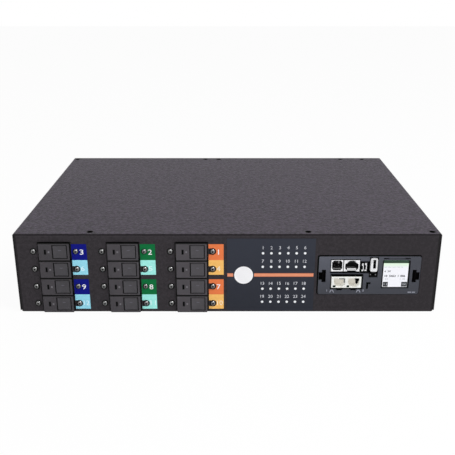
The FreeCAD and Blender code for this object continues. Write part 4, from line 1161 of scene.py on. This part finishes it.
class RACKUNIT_OT_ports(bpy.types.Operator):
    """Finish the module's jacks and ports, and add their contacts, lamps, and sheets of painted shade and
    highlight in their cavities
    """
    bl_idname = "rackunit.ports"
    bl_label = "Ports"

    side_spots = tuple(tuple(value * MM for value in spot) for spot in (
        (-2.2, 2.4, 1.6, 2.8), (-2.3, -4.0, 1.9, 1.7), (-1.5, -1.1, 0.7, 4.2), (1.0, 3.1, 1.9, 2.1),
        (1.6, -0.3, 1.0, 4.8), (0.9, -3.9, 2.0, 1.5)))
    side_middle = (3.35 * MM, 5.5 * MM)
    contact_spot = 1.0 * MM
    contact_middle = (4.0 * MM, 2.8 * MM)
    contact_spread = 2.6 * MM
    arch_low = 50.6 * MM
    arch_shoulder = 55.0 * MM
    arch_high = 58.9 * MM
    arch_round = 0.7 * MM
    arch_half = 6.85 * MM
    arch_top_half = 3.5 * MM
    shield_face = 0.15 * MM
    network_warm = (0.5 * MM, 12 * MM)
    network_lit = (0.2 * MM, 2 * MM)
    network_spread = 7.4 * MM
    network_skin = 0.1 * MM
    network_right = 0.5 * MM
    network_foot = 0.45 * MM
    usb_mouth = 0.9 * MM
    usb_rim = 1.1 * MM
    wire_pitch = 1.02 * MM
    wire_points = ((2.2 * MM, 0.0), (4.5 * MM, 1.0 * MM), (9.5 * MM, 3.4 * MM))
    sensor_wires = (6, -3.4 * MM, 1)
    network_wires = (8, 4.0 * MM, -1)
    leaves_count = 8
    leaf_size = (0.95 * MM, 5.0 * MM, 1.5 * MM)
    leaf_pitch = 1.2 * MM
    leaf_depth = 3.1 * MM
    leaf_rise = 2.47 * MM
    lamp_places = ((110.7 * MM, 113.7 * MM), (125.2 * MM, 127.9 * MM))
    lamp_heights = (1.1 * MM, 3.3 * MM)
    lamp_depths = (-0.05 * MM, 0.3 * MM)
    stop_depths = (0.5 * MM, 1.7 * MM)
    ledge_depths = (0.6 * MM, 1.6 * MM)
    spot_depths = (-0.12 * MM, 0.3 * MM)
    # Outline of the black sheet of painted shade at the upper right of the second network port.
    insert = tuple((x * MM, z * MM) for x, z in (
        (132.9, 39.4), (138.1, 39.4), (138.1, 37.0), (137.1, 35.4), (136.9, 33.6), (135.3, 32.6),
        (134.4, 33.6), (134.4, 36.2)))
    # Grey sheets of painted shade at the upper right of the first network port.
    left_insert = tuple(tuple(value * MM for value in box) for box in (
        (117.2, 122.2, 38.0, 39.32), (122.15, 123.47, 34.0, 39.32)))
    # A ledge and a painted highlight in the sensor jack's cavity.
    sensor_insert = tuple(tuple(value * MM for value in box) for box in (
        (108.78, 119.42, 49.75, 50.5), (115.0, 116.3, 56.05, 59.37)))

    def execute(self, context):
        for node in ("sensor_jack", "serial_jack"):
            dress([node], self.shielded(node))
        dress(["network_jacks"], self.network())
        dress(["usb_port"], self.usb())
        dress(["auxiliary_ports"],
              known_material("Port moulding", moulded, tone(12, 12, 13), 0.5, gloss=0.05))
        self.contacts("sensor_contacts", "sensor_jack", 0.0, *self.sensor_wires)
        self.leaves()
        for number, side in (("1", -1), ("2", 1)):
            self.contacts("network_contacts_" + number, "network_jacks", side * self.network_spread,
                          *self.network_wires)
        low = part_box("network_jacks")[0]
        self.lamps(low)
        self.inserts(low)
        self.port_metal()
        return {"FINISHED"}

    def shielded(self, node):
        """Bright front face round a cavity painted black as its shade; on the serial jack, the arch of its
        mouth is painted black too.
        """
        finish = Finish("Shield of the " + node.replace("_", " "), 0.3)
        face = finish.y < (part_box(node)[0].y + self.shield_face)
        if node == "serial_jack":
            face = face * (1.0 - self.arch(finish, box_middle(node)[0]))
        cloud = finish.noise(2 * MM)
        bright = finish.clouded(cloud, (0.78, 0.78, 0.8), (0.92, 0.92, 0.94))
        # Painted shade: black behind the front face and inside the arch.
        finish.colour(finish.mix(face, CAVITY_SHADE_BLACK, bright))
        finish.bump(cloud, 0.01 * MM, 0.3)
        return finish.material

    def arch(self, finish, middle):
        """Share that is 1 inside the round-shouldered arch round the serial jack's cavity, painted black
        there as shade.
        """
        half = finish.z.ramp(self.arch_shoulder, self.arch_high - self.arch_round, self.arch_half,
                             self.arch_top_half)
        offset = finish.x - middle
        return (offset * offset < half * half) * (finish.z > self.arch_low) * (finish.z < self.arch_high)

    def network(self):
        """Pale moulding, painted black as shade on its roof and along two edges, warmer in its cavities,
        where a painted glow stands in for light.
        """
        low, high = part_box("network_jacks")
        finish = Finish("Pale port moulding", 0.38)
        inward = finish.y.ramp(*span_from(low.y, self.network_warm))
        cloud = finish.noise(1.5 * MM)
        pale = finish.clouded(cloud, (0.82, 0.83, 0.8), (0.9, 0.91, 0.88))
        # Painted shade: black on the cavities' roof, at the right edge and at the foot.
        dark = (finish.z > (high.z - self.network_skin)) * (finish.y > (low.y + self.network_skin))
        dark = dark.greater(finish.x > (high.x - self.network_right))
        dark = dark.greater(finish.z < (low.z + self.network_foot))
        warm = finish.mix(inward, pale, (0.8, 0.78, 0.73))
        finish.colour(finish.mix(dark, warm, SHADE_BLACK))
        # Painted light: a faint glow deep in the cavities, where there is no lamp.
        deep = finish.y.ramp(*span_from(low.y, self.network_lit)) * (1.0 - dark)
        finish.glow(finish.mix(deep, (0.0, 0.0, 0.0), (0.13, 0.125, 0.115)))
        finish.bump(cloud, 0.01 * MM, 0.3)
        return finish.material

    def usb(self):
        """Bright shell, painted darker round its rim and black in its mouth, as shade."""
        low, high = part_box("usb_port")
        finish = Finish("Port shell", 0.28)
        face = finish.y < (low.y + self.usb_mouth)
        cloud = finish.noise(2 * MM)
        bright = finish.clouded(cloud, (0.72, 0.72, 0.74), (0.86, 0.86, 0.88))
        middle = (low + high) / 2
        half = (high - low) / 2
        across = finish.x - middle.x
        upward = finish.z - middle.z
        # Painted shade: darker towards the shell's edges.
        rim = (across * across).squared_ramp(half.x - self.usb_rim, half.x)
        rim = rim.greater((upward * upward).squared_ramp(half.z - self.usb_rim, half.z))
        shell = finish.mix(rim * 0.8, bright, (0.12, 0.12, 0.12))
        finish.colour(finish.mix(face, CAVITY_SHADE_BLACK, shell))
        finish.bump(cloud, 0.01 * MM, 0.3)
        return finish.material

    def leaves(self):
        """Row of flat contact leaves on the floor of the serial jack's cavity."""
        silver = known_material("Silver contact", plated, (0.92, 0.92, 0.94), 0.4)
        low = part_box("serial_jack")[0]
        growth = Growth("serial_leaves", silver)
        leaf = growth.cube("Leaf size", self.leaf_size)
        first = (box_middle("serial_jack")[0] - (self.leaves_count - 1) / 2 * self.leaf_pitch,
                 low.y + self.leaf_depth, low.z + self.leaf_rise)
        leaves = growth.across(leaf, "Leaves", self.leaves_count, self.leaf_pitch, first)
        growth.piece(leaves, "terminal_brass")

    def contacts(self, name, node, offset, count, foot, upright):
        """Row of bent contact wires in a jack's cavity, rising from their foot or hanging from it."""
        steel = known_material("Steel contact", plated, (0.5, 0.5, 0.5))
        x, _, z = box_middle(node)
        growth = Growth(name, steel)
        start, bend, end = (growth.vector(point, (0.0, depth, foot + upright * rise))
                            for point, (depth, rise) in zip(("Start", "Bend", "End"), self.wire_points))
        line = growth.node("GeometryNodeCurveQuadraticBezier", None,
                           {"Resolution": 6, "Start": start, "Middle": bend, "End": end})
        wire = growth.wire(line, "Wire radius", sizes().wire / 2, 6)
        first = (x + offset - self.wire_pitch * (count - 1) / 2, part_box(node)[0].y, z)
        wires = growth.across(wire, "Contacts", count, self.wire_pitch, first)
        growth.piece(wires, "terminal_brass", smooth=True)

    def lamps(self, low):
        """Unlit green lamp at the lower left of each network port."""
        green = known_material("Green lamp", print_ink, tone(4, 26, 12), 0.6, gloss=0.03)
        sheet = Sheet("network_lamps")
        for left, right in self.lamp_places:
            sheet.box(left, right, *span_from(low.y, self.lamp_depths), *span_from(low.z, self.lamp_heights))
        sheet.finish(green, "jack_pale")

    def inserts(self, low):
        """Black and grey sheets of painted shade at the right of the network ports' cavities, and a ledge and
        a painted highlight in the sensor jack.
        """
        sheet = Sheet("network_insert_right")
        depths = span_from(low.y, self.stop_depths)
        sheet.prism(self.insert, *depths)
        sheet.finish(known_material("Recess black", recess_black), "jack_pale")
        self.boxes("network_insert_left", self.left_insert, depths, "jack_pale")
        depths = span_from(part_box("sensor_jack")[0].y, self.ledge_depths)
        self.boxes("sensor_insert", self.sensor_insert, depths, "jack_shell")

    def boxes(self, name, spans, depths, slot):
        """Grey piece of several boxes."""
        sheet = Sheet(name)
        for left, right, bottom, top in spans:
            sheet.box(left, right, *depths, bottom, top)
        sheet.finish(known_material("Grey insert", print_ink, tone(120, 120, 120), 0.5), slot)

    def port_metal(self):
        """Bright contacts of the small side port and of the contact port."""
        bright = known_material("Bright contact", plated, (0.78, 0.78, 0.8))
        low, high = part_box("auxiliary_ports")
        sheet = Sheet("auxiliary_contacts")
        x = low.x + self.side_middle[0]
        z = high.z - self.side_middle[1]
        skin = span_from(low.y, self.spot_depths)
        for dx, dz, width, height in self.side_spots:
            sheet.box(x + dx - width / 2, x + dx + width / 2, *skin, z + dz - height / 2, z + dz + height / 2)
        sheet.finish(bright, "jack_shell")
        dull = known_material("Dull contact", plated, (0.22, 0.22, 0.23), 0.4)
        sheet = Sheet("contact_port_contacts")
        x = high.x - self.contact_middle[0]
        z = low.z + self.contact_middle[1]
        half = self.contact_spot / 2
        for side in (-1, 1):
            middle = x + side * self.contact_spread
            sheet.box(middle - half, middle + half, *skin, z - half, z + half)
        sheet.finish(dull, "jack_shell")


class RACKUNIT_OT_display(bpy.types.Operator):
    """Light the display: a green strip, a pale field, rows of plain figures and two soft keys"""
    bl_idname = "rackunit.display"
    bl_label = "Display"

    left = 162.6 * MM
    right = 188.5 * MM
    low = 29.2 * MM
    high = 59.4 * MM
    strip = 3.1 * MM
    rows = ((("4", 164.4, 1.3), ("207", 168.8, 3.5)),
            (("10", 165.8, 2.9), ("5463", 172.5, 6.6), ("1", 178.5, None), ("806", 183.3, 5.1)))
    row_places = ((47.0 * MM, 1.9 * MM), (41.8 * MM, 2.4 * MM))
    small_rows = ((("120 480 360 720 96", 173.0, 19.5),), (("25", 166.5, 3.0), ("1 40", 183.5, 5.6)))
    small_places = ((51.8 * MM, 0.9 * MM), (38.3 * MM, 1.4 * MM))
    keys_low = 29.6 * MM
    keys_high = 35.0 * MM
    key_places = ((163.1 * MM, 168.4 * MM, "11"), (182.4 * MM, 188.4 * MM, "100"))
    key_figure = 2.3 * MM
    key_share = 0.6
    green_heights = (50.0 * MM, 56.0 * MM)
    picture_depths = (-0.05 * MM, 0.05 * MM)
    strip_depths = (-0.07 * MM, -0.04 * MM)
    key_figure_depths = (-0.09 * MM, -0.06 * MM)

    def execute(self, context):
        dress(["lcd_display"], known_material("Display frame", moulded, tone(3, 3, 4), 0.7, gloss=0.03))
        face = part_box("lcd_display")[0].y
        picture = Sheet("display_picture")
        picture.box(self.left, self.right, *span_from(face, self.picture_depths), self.low, self.high)
        picture.finish(self.picture(), "display_glass")
        top = span_from(face, self.strip_depths)
        strip = Sheet("display_strip")
        strip.box(self.left, self.right, *top, self.high - self.strip, self.high)
        strip.finish(self.strip_ink(), "display_glass")
        self.keys(top, span_from(face, self.key_figure_depths))
        self.figures("display_figures", self.rows, self.row_places, tone(60, 60, 66), top, 0.03)
        self.figures("display_small_figures", self.small_rows, self.small_places, tone(172, 174, 180), top)
        return {"FINISHED"}

    def figures(self, name, rows, places, colour, depths, weight=0.01):
        """Rows of plain numbers in one shade."""
        sheet = Sheet(name)
        for row, (z, height) in zip(rows, places):
            for number, x, width in row:
                sheet.figures(number, x * MM, z, height, *depths, weight, width and width * MM)
        ink = known_material(name, print_ink, colour, 0.3, glow=0.1)
        sheet.finish(ink, "display_glass")

    def keys(self, depths, above):
        """Two soft keys at the foot of the picture: dark fields with plain pale figures above them."""
        dark = known_material("Display key", print_ink, tone(54, 56, 60), 0.3, glow=0.03)
        pale = known_material("Display key print", print_ink, tone(170, 172, 178), 0.3, glow=0.1)
        keys = Sheet("display_keys")
        signs = Sheet("display_key_figures")
        for left, right, sign in self.key_places:
            keys.box(left, right, *depths, self.keys_low, self.keys_high)
            signs.figures(sign, (left + right) / 2, (self.keys_low + self.keys_high) / 2, self.key_figure,
                          *above, 0.01, (right - left) * self.key_share)
        keys.finish(dark, "display_glass")
        signs.finish(pale, "display_glass")

    def strip_ink(self):
        """Status strip, dark green at its foot and greyer at its top."""
        finish = Finish("Display strip", 0.3, 0.2)
        rise = finish.z.ramp(self.high - self.strip * 0.6, self.high)
        finish.colour(finish.mix(rise, tone(26, 56, 34), tone(66, 88, 78)))
        finish.bump(finish.noise(0.6 * MM), 0.004 * MM, 0.3)
        return finish.material

    def picture(self):
        """Lit field, white below and pale green at its top."""
        finish = Finish("Display picture", 0.3, 0.2)
        rise = finish.z.ramp(*self.green_heights)
        dots = finish.specks(0.4 * MM)
        finish.colour(finish.mix(rise, (0.58, 0.58, 0.61), (0.48, 0.58, 0.47)))
        finish.glow(finish.mix(rise * (0.96 + dots * 0.04), (0.33, 0.33, 0.355), (0.28, 0.34, 0.27)))
        return finish.material


class RACKUNIT_OT_inside(bpy.types.Operator):
    """Finish the boards, bars, terminals and supply inside the case"""
    bl_idname = "rackunit.inside"
    bl_label = "Inside"

    def execute(self, context):
        dress(["led_board", "module_board", "metering_board"],
              known_material("Solder resist", moulded, tone(24, 84, 52), 0.35, 1.2 * MM))
        dress(["busbars"], known_material("Copper bar", plated, (0.78, 0.38, 0.24), 0.32))
        dress(["breaker_terminals", "standoffs"], known_material("Brass", plated, (0.72, 0.53, 0.26), 0.33))
        dress(["terminal_block"], known_material("Terminal moulding", moulded, tone(150, 150, 146)))
        dress(["power_supply"], known_material("Supply casing", plated, (0.42, 0.42, 0.44), 0.42, 2 * MM))
        return {"FINISHED"}


class RACKUNIT_OT_outlets(bpy.types.Operator):
    """Finish the outlet banks and put the contacts in their pin slots"""
    bl_idname = "rackunit.outlets"
    bl_label = "Outlets"

    outlets = 6
    pitch = 24.5 * MM
    blade_length = 3.9 * MM
    blade_depth = 6.0 * MM
    blade_thickness = 0.4 * MM
    blade_recess = 3.2 * MM
    slot_half = 1.3 * MM
    slot_places = ((2.0 * MM, 0.0), (-2.0 * MM, -7.0 * MM), (-2.0 * MM, 7.0 * MM))

    def execute(self, context):
        dress(matching("outlet_bank"), known_material("Outlet moulding", moulded, tone(30, 30, 32), 0.42))
        for node in matching("outlet_bank"):
            self.blades(node)
        return {"FINISHED"}

    def blades(self, node):
        """Pairs of contact leaves in the three slots of every outlet of a bank."""
        metal = known_material("Contact leaf", plated, (0.74, 0.62, 0.4))
        growth = Growth("contacts_" + node.replace("outlet_", ""), metal)
        leaf = growth.cube("Leaf size", (self.blade_length, self.blade_depth, self.blade_thickness))
        offset = self.slot_half - self.blade_thickness / 2
        leaves = growth.together(*(growth.moved(leaf, (dx, 0.0, dz + side * offset))
                                   for dx, dz in self.slot_places for side in (-1, 1)))
        x, _, z = box_middle(node)
        first = (x - self.pitch * (self.outlets - 1) / 2,
                 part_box(node)[1].y - self.blade_recess - self.blade_depth / 2, z)
        contacts = growth.across(leaves, "Outlets", self.outlets, self.pitch, first)
        growth.piece(contacts, "terminal_brass")


class RACKUNIT_OT_supply(bpy.types.Operator):
    """Finish the supply gland and the earth stud, with the gland's grip ribs and the stud's thread"""
    bl_idname = "rackunit.supply"
    bl_label = "Supply entry"

    ribs = 18
    rib_radius = 0.55 * MM
    rib_length = 11.0 * MM
    rib_middle = 7.2 * MM
    rib_sink = 0.2 * MM
    thread_start = 6.6 * MM
    thread_end = 0.6 * MM
    thread_pitch = 0.8 * MM
    thread_radius = 2.45 * MM
    thread_wire = 0.24 * MM

    def execute(self, context):
        gland = known_material("Gland moulding", moulded, tone(34, 34, 37), 0.45)
        dress(["gland_body", "gland_dome_nut", "gland_locknut"], gland)
        dress(["gland_seal"], known_material("Seal rubber", moulded, tone(22, 22, 22), 0.7))
        stud = known_material("Plated stud", plated, (0.72, 0.64, 0.45))
        dress(["earth_stud"], stud)
        self.grip(gland)
        self.thread(stud)
        return {"FINISHED"}

    def grip(self, material):
        """Ribs round the dome nut."""
        low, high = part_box("gland_dome_nut")
        radius = (high.z - low.z) / 2 - self.rib_sink
        growth = Growth("gland_grip", material)
        ring = growth.node("GeometryNodeMeshCircle", None,
                           {"Vertices": growth.count("Ribs", self.ribs),
                            "Radius": growth.size("Ring radius", radius)})
        rib = growth.node("GeometryNodeMeshCylinder", None,
                          {"Vertices": 8, "Radius": growth.size("Rib radius", self.rib_radius),
                           "Depth": growth.size("Rib length", self.rib_length)})
        copies = growth.copies(ring.outputs[0], rib.outputs[0])
        x, _, z = box_middle("gland_dome_nut")
        place = growth.vector("Middle", (x, low.y + self.rib_middle, z))
        growth.piece(growth.moved(copies, place, (math.pi / 2, 0.0, 0.0)), "gland_plastic", smooth=True)

    def thread(self, material):
        """Thread on the free end of the earth stud."""
        x, _, z = box_middle("earth_stud")
        start = BACK + self.thread_start
        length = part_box("earth_stud")[1].y - self.thread_end - start
        growth = Growth("stud_thread", material)
        line = growth.node("GeometryNodeCurveSpiral", None,
                           {"Resolution": 20, "Rotations": length / self.thread_pitch,
                            "Start Radius": growth.size("Start radius", self.thread_radius),
                            "End Radius": growth.size("End radius", self.thread_radius),
                            "Height": growth.size("Length", length)})
        ridge = growth.wire(line, "Ridge", self.thread_wire, 5)
        place = growth.vector("Start", (x, start, z))
        growth.piece(growth.moved(ridge, place, (-math.pi / 2, 0.0, 0.0)), "screw_steel", smooth=True)


class RACKUNIT_OT_stage(bpy.types.Operator):
    """Set up the floor, the lamps, the pale surroundings and the camera"""
    bl_idname = "rackunit.stage"
    bl_label = "Stage"

    floor_size = 8.0
    floor_gap = 0.2 * MM
    camera_share = 0.95
    target = (0.0, 0.0, 0.05)
    key_lamp = ((0.8, -0.7, 1.5), 0.7)
    fill_lamp = ((-0.5, -2.2, 0.9), 1.6)

    def execute(self, context):
        self.camera()
        self.lamps()
        self.surroundings()
        self.floor()
        context.scene.view_settings.view_transform = "Standard"
        return {"FINISHED"}

    def camera(self):
        """Camera at the photograph's viewing angle."""
        stage = bpy.context.scene.rack_unit_stage
        data = bpy.data.cameras.new("Camera")
        data.sensor_width = 36.0
        data.lens = stage.lens
        camera = bpy.data.objects.new("Camera", data)
        camera.location = (stage.camera_x, stage.camera_y, stage.camera_z)
        camera.rotation_euler = (math.pi / 2 - stage.pitch, 0.0, 0.0)
        bpy.context.scene.collection.objects.link(camera)
        bpy.context.scene.camera = camera

    def lamp(self, name, place, size, power):
        """Square soft lamp that faces the object's front."""
        data = bpy.data.lights.new(name, "AREA")
        data.size = size
        data.energy = power
        lamp = bpy.data.objects.new(name, data)
        lamp.location = place
        lamp.rotation_euler = (Vector(self.target) - Vector(place)).to_track_quat("-Z", "Y").to_euler()
        bpy.context.scene.collection.objects.link(lamp)

    def lamps(self):
        """Key lamp at the upper right in front, and a broad fill lamp in front."""
        stage = bpy.context.scene.rack_unit_stage
        self.lamp("Key lamp", *self.key_lamp, stage.key_power)
        self.lamp("Fill lamp", *self.fill_lamp, stage.fill_power)

    def surroundings(self):
        """White to look at and in reflections, and a plain even light for the rest."""
        world = bpy.data.worlds.new("Surroundings")
        world.use_nodes = True
        graph = Graph(world.node_tree)
        world.node_tree.nodes.clear()
        path = graph.node("ShaderNodeLightPath")
        seen = Field(graph, path.outputs["Is Camera Ray"])
        for ray in ("Is Glossy Ray", "Is Transmission Ray"):
            seen = seen.greater(Field(graph, path.outputs[ray]))
        level = bpy.context.scene.rack_unit_stage.room_light
        even = graph.node("ShaderNodeBackground", None, {"Color": (1.0, 1.0, 1.0, 1.0), "Strength": level})
        white = graph.node("ShaderNodeBackground", None, {"Color": (1.0, 1.0, 1.0, 1.0), "Strength": 1.0})
        mixed = graph.node("ShaderNodeMixShader", None,
                           {0: seen, 1: even.outputs[0], 2: white.outputs[0]})
        graph.node("ShaderNodeOutputWorld", None, {"Surface": mixed.outputs[0]})
        bpy.context.scene.world = world

    def floor(self):
        """Large pale floor that keeps the object's shadow."""
        half = self.floor_size / 2
        height = tray_low.z - self.floor_gap
        mesh = bpy.data.meshes.new("Floor")
        corners = [(-half, -half, height), (half, -half, height), (half, half, height), (-half, half, height)]
        mesh.from_pydata(corners, [], [(0, 1, 2, 3)])
        floor = bpy.data.objects.new("Floor", mesh)
        bpy.context.scene.collection.objects.link(floor)
        material = bpy.data.materials.new("Pale floor")
        material.use_nodes = True
        graph = Graph(material.node_tree)
        material.node_tree.nodes.clear()
        path = graph.node("ShaderNodeLightPath")
        share = Field(graph, path.outputs["Is Camera Ray"]) * self.camera_share
        matt = graph.node("ShaderNodeBsdfDiffuse", None, {"Color": (0.9, 0.9, 0.9, 1.0)})
        white = graph.node("ShaderNodeEmission", None, {"Color": (1.0, 1.0, 1.0, 1.0), "Strength": 1.0})
        mixed = graph.node("ShaderNodeMixShader", None, {0: share, 1: matt.outputs[0], 2: white.outputs[0]})
        graph.node("ShaderNodeOutputMaterial", None, {"Surface": mixed.outputs[0]})
        mesh.materials.append(material)


class RACKUNIT_PT_panel(bpy.types.Panel):
    """Settings and steps of the rack unit"""
    bl_idname = "RACKUNIT_PT_panel"
    bl_label = "Rack unit"
    bl_space_type = "VIEW_3D"
    bl_region_type = "UI"
    bl_category = "Rack unit"

    def draw(self, context):
        layout = self.layout
        for group in (context.scene.rack_unit_finishes, context.scene.rack_unit_sizes,
                      context.scene.rack_unit_stage):
            box = layout.box()
            for name in group.__annotations__:
                box.prop(group, name)
        for step in STEPS:
            layout.operator(step.bl_idname)


STEPS = (RACKUNIT_OT_stage, RACKUNIT_OT_case, RACKUNIT_OT_breakers, RACKUNIT_OT_labels, RACKUNIT_OT_overlay,
         RACKUNIT_OT_module, RACKUNIT_OT_ports, RACKUNIT_OT_display, RACKUNIT_OT_inside, RACKUNIT_OT_outlets,
         RACKUNIT_OT_supply)
GROUPS = (RackUnitFinishes, RackUnitSizes, RackUnitStage)
CLASSES = GROUPS + STEPS + (RACKUNIT_PT_panel,)


def register():
    """Adds the classes and the scene's settings."""
    for item in CLASSES:
        bpy.utils.register_class(item)
    bpy.types.Scene.rack_unit_finishes = bpy.props.PointerProperty(type=RackUnitFinishes)
    bpy.types.Scene.rack_unit_sizes = bpy.props.PointerProperty(type=RackUnitSizes)
    bpy.types.Scene.rack_unit_stage = bpy.props.PointerProperty(type=RackUnitStage)


def unregister():
    """Removes the settings and the classes."""
    del bpy.types.Scene.rack_unit_stage
    del bpy.types.Scene.rack_unit_sizes
    del bpy.types.Scene.rack_unit_finishes
    for item in reversed(CLASSES):
        bpy.utils.unregister_class(item)


def main():
    register()
    bpy.ops.rackunit.stage()
    bpy.ops.rackunit.case()
    bpy.ops.rackunit.breakers()
    bpy.ops.rackunit.labels()
    bpy.ops.rackunit.overlay()
    bpy.ops.rackunit.module()
    bpy.ops.rackunit.ports()
    bpy.ops.rackunit.display()
    bpy.ops.rackunit.inside()
    bpy.ops.rackunit.outlets()
    bpy.ops.rackunit.supply()


if __name__ == "__main__":
    main()
